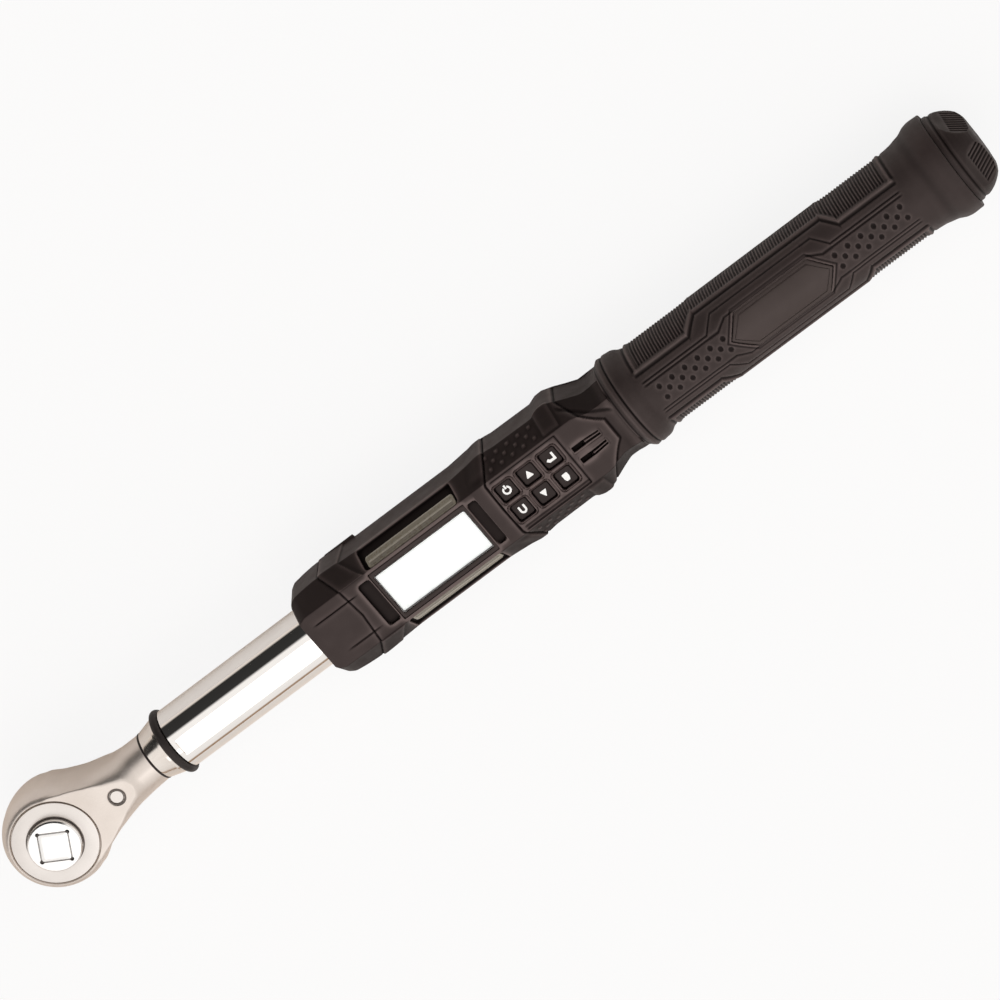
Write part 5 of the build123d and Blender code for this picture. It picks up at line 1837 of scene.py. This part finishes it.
# ------------------------------------------------------------------ handle
@dataclass
class Handle:
    """Ribbed grip, drawn as radius over x and the angle from the top, and its plaque."""

    start: float = 303.0
    middle: float = 383.0
    end: float = 470.0
    bore: float = 15.05
    radius: float = 19.2
    outline_x: tuple = (303.0, 304.3, 306.5, 307.2, 308.0, 309.5, 311.0, 312.0, 313.6, 315.9, 318.0, 345.0,
                        350.0, 416.0, 421.0, 450.0, 454.0, 458.5, 462.0, 464.5, 469.6, 470.0)
    outline_r: tuple = (19.3, 20.4, 21.5, 21.1, 21.5, 21.6, 21.3, 21.35, 20.9, 19.3, 19.25, 19.25,
                        19.4, 19.4, 19.2, 19.2, 19.6, 20.9, 22.3, 22.7, 22.7, 22.5)
    rib_pitch: float = 1.38
    rib_depth: float = 0.5
    field_x: tuple = (317.6, 448.0)
    step_front: tuple = (344.4, 351.2)
    step_rear: tuple = (414.8, 420.4)
    step_angles: tuple = (37.0, 58.5)
    line_angles: tuple = ((24.3, 44.5), (19.4, 29.5))
    line_fronts: tuple = ((351.0, 357.0), (355.6, 361.0))
    line_rears: tuple = ((407.4, 413.0), (402.0, 408.2))
    line_slant: float = 0.68
    dimple_x: tuple = (323.2, 411.6)
    dimple_rows: tuple = ((8.55, 6, 0.0), (0.0, 5, 3.22), (-8.55, 6, 0.0))
    dimple_pitch: float = 6.45
    dimple_r: float = 1.15
    plaque_floor: float = 17.2
    plaque_r: float = 19.4
    plaque_middle: float = 383.05
    plaque_half: tuple = (25.3, 8.85)
    plaque_corners: tuple = ((357.75, 0), (365.4, -8.85), (401.4, -8.85), (408.35, 0), (401.4, 8.85),
                             (365.4, 8.85))
    plaque_steps: tuple = ((0.0, -3.0), (0.0, -0.45), (0.12, -0.2), (0.35, -0.05), (0.9, 0.0), (1.35, -0.02),
                           (1.5, -0.28), (1.7, -0.3), (1.85, -0.05), (2.3, 0.0), (4.0, 0.0), (6.0, 0.0),
                           (8.0, 0.0), (8.8, 0.0))

    def mirrored_angle(self, a: np.ndarray) -> np.ndarray:
        """Angle in degrees from the top or the underside, whichever is nearer."""
        d = np.degrees(np.abs((a + math.pi) % (2 * math.pi) - math.pi))
        return np.minimum(d, 180.0 - d)

    def border(self, x: np.ndarray, angles: tuple, front: tuple, rear: tuple) -> np.ndarray:
        """Angle of a border line that steps up beside the plaque and down again."""
        low, high = angles
        return np.interp(x, (*front, *rear), (low, high, high, low))

    def relief(self, x: np.ndarray, a: np.ndarray) -> np.ndarray:
        """Sum of the flange's lines, the ribs in their raised border, fine lines and dimples.

        Args:
            x: places along the tool.
            a: angles from the top, in radians.

        Returns:
            The height over the plain sleeve at each place.
        """
        d = self.mirrored_angle(a)
        arc = math.radians(1.0) * self.radius
        height = 0.3 * bell(x - 305.9, 0.8) - 0.6 * bell(x - 308.0, 0.4) - 0.35 * bell(x - 303.9, 0.4)
        height = height - 0.25 * bell(x - 459.0, 2.2) + 0.12 * bell(x - 465.5, 2.5)
        line = self.border(x, self.step_angles, self.step_front, self.step_rear)
        (a1, a2), (b1, b2) = self.step_front, self.step_rear
        slope = np.where(((x > a1) & (x < a2)) | ((x > b1) & (x < b2)), self.line_slant, 1.0)
        away = (d - line) * arc * slope
        first, last = self.field_x
        live = smoothstep(first - 0.8, first + 0.6, x) * (1 - smoothstep(last - 0.6, last + 0.8, x))
        height += (0.5 * bell(away - 1.3, 0.75) - 0.55 * bell(away + 0.35, 0.7)) * live
        close = smoothstep(0.0, 2.5, away)
        for place, facing in ((first, 1), (last, -1)):
            t = (x - place) * facing
            height += (0.4 * bell(t - 1.3, 0.7) - 0.45 * bell(t, 0.6)) * close
        ends = smoothstep(first + 2.4, first + 3.4, x) * (1 - smoothstep(last - 3.4, last - 2.4, x))
        wave = 0.5 - 0.5 * np.cos(2 * math.pi * x / self.rib_pitch)
        height -= smoothstep(2.4, 3.2, away) * ends * self.rib_depth * (1 - wave ** 1.5)
        fade = window(319.5, 446.0, x, 2.0)
        stepping = ((x > 351.0) & (x < 361.0)) | ((x > 402.0) & (x < 413.0))
        for angles, front, rear in zip(self.line_angles, self.line_fronts, self.line_rears):
            gap = (d - self.border(x, angles, front, rear)) * arc * np.where(stepping, self.line_slant, 1.0)
            height -= 0.45 * bell(gap, 0.34) * fade
        angle = np.degrees((a + math.pi) % (2 * math.pi) - math.pi)
        for start in self.dimple_x:
            for row, count, shift in self.dimple_rows:
                for number in range(count):
                    across = (angle - row - 1.0) * arc * 0.9
                    gap = np.hypot(x - (start + shift + self.dimple_pitch * number), across)
                    height -= dome(gap, self.dimple_r, 0.55)
        return height

    def hexagon(self, x: np.ndarray, y: np.ndarray) -> np.ndarray:
        """Signed distance to the plaque's outline, negative inside.

        Args:
            x: places along the tool.
            y: places across it.

        Returns:
            The distance at each place.
        """
        half, left_run, right_run = 9.0, 7.6, 7.3
        left = ((357.5 - x) * half + np.abs(y) * left_run) / math.hypot(left_run, half)
        right = ((x - 408.6) * half + np.abs(y) * right_run) / math.hypot(right_run, half)
        return np.maximum(np.abs(y) - half, np.maximum(left, right))

    def piece(self, name: str, low: float, high: float) -> bpy.types.Object:
        """One length of the grip, closed by its bore.

        Args:
            name: the piece's name.
            low: where it starts along the tool.
            high: where it ends.

        Returns:
            The new piece, with its hollow measure.
        """
        xs = ruled(low, high, 0.26)
        fine = np.radians(np.concatenate([np.arange(-64, 64, 1.15), np.arange(64, 116, 4.0),
                                          np.arange(116, 244, 2.6), np.arange(244, 296, 4.0)]))
        x, a = np.meshgrid(xs, fine, indexing="ij")
        r = np.interp(x, self.outline_x, self.outline_r)
        shifts = (-0.7, -0.35, 0.0, 0.35, 0.7)
        soft = np.mean([np.interp(x + o, self.outline_x, self.outline_r) for o in shifts], axis=0)
        height = self.relief(x, a)
        r = np.where((x > low + 0.8) & (x < self.end - 0.8), soft, r) + height
        y = r * np.sin(a)
        z = r * np.cos(a)
        d = self.hexagon(x, y)
        up = z > 0
        inside = np.where(up, sunk(d, 1.0), 0.0)
        z = np.where(up, z * (1 - inside) + np.minimum(z, self.plaque_floor) * inside, z)
        trough = np.where(up, 0.35 * bell(d - 1.3, 0.35), 0.0)
        depth = trough - height + 0.9 * inside
        outer = np.stack([x, y, z - trough], -1)
        rings = np.stack([hoop(place, self.bore, fine) for place in (high, low)])
        made = mesh_object(name, carried(np.concatenate([outer, rings]), closed_rows=True), 40.0)
        mark_hollows(made, hollows(depth, xs, fine * self.radius, 1.1))
        return made

    def plaque_surface(self) -> Surface:
        """Six-sided plate whose top follows a cylinder, with a groove inside its rounded edge.

        Returns:
            The plate.
        """
        middle = np.array([self.plaque_middle, 0.0])
        base = rounded_outline(self.plaque_corners, 0.5, 3)
        fine = []
        for here, after in zip(base, np.roll(base, -1, 0)):
            count = max(1, int(np.linalg.norm(after - here) / 1.0))
            fine.extend(here + (after - here) * k / count for k in range(count))
        outline = np.array(fine)
        reach = np.array(self.plaque_half)
        rows = []
        for inset, drop in self.plaque_steps:
            ring = middle + (outline - middle) * (reach - inset) / reach
            crown = np.sqrt(self.plaque_r ** 2 - ring[:, 1] ** 2)
            foot = np.full(len(ring), self.plaque_floor + 0.05)
            rows.append(np.column_stack([ring, crown + drop if drop > -1 else foot]))
        return carried(np.stack(rows))

    def build(self) -> None:
        """Makes the grip's two lengths and the plaque."""
        front = self.piece("grip_front", self.start, self.middle)
        settle(front, Finish.GRIP, "wrench", "grip_black", "handle_grip")
        rear = self.piece("grip_rear", self.middle, self.end)
        settle(rear, Finish.GRIP, "wrench", "grip_black")
        plaque = mesh_object("grip_plate", self.plaque_surface(), 40.0)
        settle(plaque, Finish.PLAQUE, "wrench", "plaque_grey", "grip_plaque")


@dataclass
class EndCap:
    """Screwed cap with four ribbed flats, and its hollow spigot."""

    outline_x: tuple = (470.0, 470.25, 471.9, 472.4, 473.1, 473.6, 474.4, 476.0, 478.0, 479.8, 481.4, 482.7,
                        483.6, 484.0)
    outline_r: tuple = (20.3, 20.6, 20.5, 20.1, 19.8, 20.0, 20.05, 19.6, 18.65, 17.5, 16.2, 14.8, 13.0, 11.7)
    spigot_r: float = 12.0
    spigot_bore: float = 8.0
    spigot_start: float = 455.0
    floor: float = 475.6
    rib_pitch: float = 1.9
    rib_height: float = 0.55
    turn: float = 16.0
    segments: int = 480
    flat_start: float = 474.0
    flat_r: float = 19.95
    flat_slope: float = 0.88
    seam_x: tuple = (473.1, 473.6)
    end_rings: tuple = ((0.96, 0.12), (0.6, 0.15), (0.2, 0.15), (0.002, 0.15))

    def build(self) -> None:
        """Makes the cap: radius over x and angle, cut by four slanting planes with ribs on them."""
        xs = np.unique(np.concatenate([np.array(self.outline_x), np.linspace(474.4, 484.0, 60)]))
        turn = np.linspace(0, 2 * math.pi, self.segments, endpoint=False)
        x, a = np.meshgrid(xs, turn, indexing="ij")
        r = np.interp(x, self.outline_x, self.outline_r)
        quarter = (a + math.radians(self.turn) + math.pi / 4) % (math.pi / 2) - math.pi / 4
        limit = (self.flat_r - self.flat_slope * (x - self.seam_x[1])) / np.cos(quarter)
        across = limit * np.sin(quarter)
        on = (x > self.flat_start) & (limit < r)
        fade = smoothstep(477.2, 477.8, x) * (1 - smoothstep(7.6, 8.2, np.abs(across)))
        ribs = self.rib_height * (0.5 + 0.5 * np.cos(2 * math.pi * across / self.rib_pitch)) * fade
        ribs = ribs * (r - limit > 0.3)
        # The seam's bell is painted shade: it deepens the hollow measure there without cutting the surface.
        depth = np.where(on, ribs, 0.0) + 0.5 * bell(x - self.seam_x[0], 0.5)
        outer = hoop(x, np.where(on, limit - ribs, r), a)
        start = [hoop(place, radius, turn) for place, radius in (
            (self.floor, AXIS_R), (self.floor, self.spigot_bore), (self.spigot_start, self.spigot_bore),
            (self.spigot_start, self.spigot_r), (self.outline_x[0], self.spigot_r))]
        tail = outer[-1]
        end = [np.column_stack([tail[:, 0] + shift, tail[:, 1:] * share]) for share, shift in self.end_rings]
        grid = np.concatenate([np.stack(start), outer, np.stack(end)])
        cap = mesh_object("cap_shell", carried(grid), 30.0)
        measure = hollows(depth, xs, turn * 18.0, 1.0)
        mark_hollows(cap, np.concatenate([np.zeros((len(start), self.segments)), measure]))
        settle(cap, Finish.CAP, "cap", "cap_black", "end_cap")


# ------------------------------------------------------------------ hidden solids
def dress_inside(nodes: dict) -> None:
    """Finishes on the lower shell and on the solids that the shells hide.

    Args:
        nodes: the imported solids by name.
    """
    table = {
        Finish.HOUSING: ("housing_bottom",),
        Finish.BOARD: ("main_board",),
        Finish.CHIP: ("board_chips", "buzzer", "key_switches"),
        Finish.HARD_STEEL: ("spine_bar", "cap_contact_spring", "housing_screws"),
        Finish.SLEEVE: ("battery_tube",),
        Finish.CELL: ("battery_1", "battery_2", "battery_3"),
        Finish.CONTACT: ("front_contact", "cap_contact"),
        Finish.SEAL: ("cap_o_ring",),
    }
    for finish, names in table.items():
        for name in names:
            dress(nodes[name], finish)


# ------------------------------------------------------------------ studio
@dataclass
class Studio:
    """Pale floor under the tool, a soft box with a dark side, and the camera."""

    tip_z: float = -35.3
    heel_x: float = 467.0
    heel_z: float = -23.2
    camera: tuple = (560.0, 475.0, 1515.0)
    view: tuple = (-0.19836, -0.29379, -0.93506)
    roll: float = 36.77
    focal: float = 141.07
    floor_x: tuple = (-2600.0, 3100.0)
    floor_y: tuple = (-2800.0, 2800.0)
    floor_colour: tuple = (0.87, 0.84, 0.82, 1.0)
    floor_share: float = 0.86
    room: tuple = ((-180, 0.9), (-101, 0.9), (-96, 0.35), (-84, 0.30), (-79, 0.92), (-20, 1.05), (34, 1.05),
                   (41, 0.035), (80, 0.03), (86, 0.85), (180, 0.9))
    lamp_size: tuple = (1.6, 0.9)
    lamp_place: tuple = (0.25, -0.75, 1.5)
    lamp_tilt: float = -26.0
    lamp_energy: float = 3.0

    def floor(self) -> None:
        """A wide plane that touches the drive's tip and the grip's flare."""
        slope = (self.heel_z - self.tip_z) / self.heel_x
        xs = np.linspace(*self.floor_x, 12)
        ys = np.linspace(*self.floor_y, 12)
        x, y = np.meshgrid(xs, ys, indexing="ij")
        z = self.tip_z - 0.25 + slope * x
        points = np.stack([x, y, z], -1).reshape(-1, 3)
        quads = grid_quads(12, 12, False, False)
        made = mesh_object("floor", Surface(points, quads))
        board = Board("pale_floor")
        board.set(Base_Color=self.floor_colour, Roughness=0.9, Specular_IOR_Level=0.1)
        ray = board.node("ShaderNodeLightPath")
        glow = board.node("ShaderNodeEmission", Strength=1.0)
        glow.inputs["Color"].default_value = (1.0, 1.0, 1.0, 1.0)
        mix = board.node("ShaderNodeMixShader")
        share = board.node("ShaderNodeMath", operation="MULTIPLY")
        share.inputs[1].default_value = self.floor_share
        board.link(ray.outputs["Is Camera Ray"], share.inputs[0])
        board.link(share.outputs[0], mix.inputs[0])
        board.link(board.shader.outputs[0], mix.inputs[1])
        board.link(glow.outputs[0], mix.inputs[2])
        board.link(mix.outputs[0], board.out.inputs["Surface"])
        made.data.materials.append(board.material)
        if made.data.polygons[0].normal.z < 0:
            made.data.flip_normals()

    def world(self) -> None:
        """Soft box overhead, dark room on the +Y side above the floor, as a ramp over the angle."""
        world = bpy.data.worlds.new("studio")
        bpy.context.scene.world = world
        world.use_nodes = True
        tree = world.node_tree
        tree.nodes.clear()
        new = tree.nodes.new
        out = new("ShaderNodeOutputWorld")
        back = new("ShaderNodeBackground")
        tree.links.new(back.outputs[0], out.inputs["Surface"])
        coords = new("ShaderNodeTexCoord")
        apart = new("ShaderNodeSeparateXYZ")
        tree.links.new(coords.outputs["Generated"], apart.inputs[0])
        angle = new("ShaderNodeMath")
        angle.operation = "ARCTAN2"
        tree.links.new(apart.outputs["Y"], angle.inputs[0])
        tree.links.new(apart.outputs["Z"], angle.inputs[1])
        scaled = new("ShaderNodeMapRange")
        tree.links.new(angle.outputs[0], scaled.inputs["Value"])
        scaled.inputs["From Min"].default_value = -math.pi
        scaled.inputs["From Max"].default_value = math.pi
        ramp = new("ShaderNodeValToRGB")
        tree.links.new(scaled.outputs[0], ramp.inputs["Fac"])
        warmth = {-96: (0.42, 0.29, 0.19), -84: (0.36, 0.24, 0.16), 86: (0.84, 0.76, 0.69)}
        stops = []
        for degrees, level in self.room:
            plain = (level, level * 0.975, level * 0.95)
            stops.append(((degrees + 180.0) / 360.0, warmth.get(degrees, plain)))
        ramp_stops(ramp.color_ramp, stops)
        tree.links.new(ramp.outputs[0], back.inputs["Color"])
        back.inputs["Strength"].default_value = 1.0

    def lamp(self) -> None:
        """One large soft lamp over the tool's far side."""
        data = bpy.data.lights.new("soft_box", "AREA")
        data.shape = "RECTANGLE"
        data.size, data.size_y = self.lamp_size
        data.energy = self.lamp_energy
        made = bpy.data.objects.new("soft_box", data)
        made.location = self.lamp_place
        made.rotation_euler = (math.radians(self.lamp_tilt), 0.0, 0.0)
        bpy.context.scene.collection.objects.link(made)

    def view_camera(self) -> None:
        """Camera at the given place, turned about its view line by the roll."""
        w = np.array(self.view)
        w = w / np.linalg.norm(w)
        along = np.array([1.0, 0.0, 0.0])
        right = along - (along @ w) * w
        right = right / np.linalg.norm(right)
        up = np.cross(right, w)
        c = math.cos(math.radians(self.roll))
        s = math.sin(math.radians(self.roll))
        picture_right = c * right - s * up
        picture_up = s * right + c * up
        data = bpy.data.cameras.new("camera")
        data.lens = self.focal
        data.sensor_width = 36.0
        data.clip_end = 20.0
        made = bpy.data.objects.new("camera", data)
        matrix = np.eye(4)
        matrix[:3, 0] = picture_right
        matrix[:3, 1] = picture_up
        matrix[:3, 2] = -w
        matrix[:3, 3] = np.array(self.camera) * MM
        made.matrix_world = Matrix(matrix.tolist())
        bpy.context.scene.collection.objects.link(made)
        bpy.context.scene.camera = made

    def build(self) -> None:
        """Sets the scene."""
        self.floor()
        self.world()
        self.lamp()
        self.view_camera()
        bpy.context.scene.view_settings.view_transform = "Standard"


def main() -> None:
    """Builds the looks in order."""
    logging.basicConfig(level=logging.INFO, format="%(message)s")
    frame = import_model()
    head = RatchetHead()
    head.build()
    head.dress_solids(frame["nodes"])
    Shaft().build()
    housing = Housing()
    housing.build()
    Display(housing).build()
    Keypad(housing).build()
    Handle().build()
    EndCap().build()
    dress_inside(frame["nodes"])
    Studio().build()


if __name__ == "__main__":
    main()
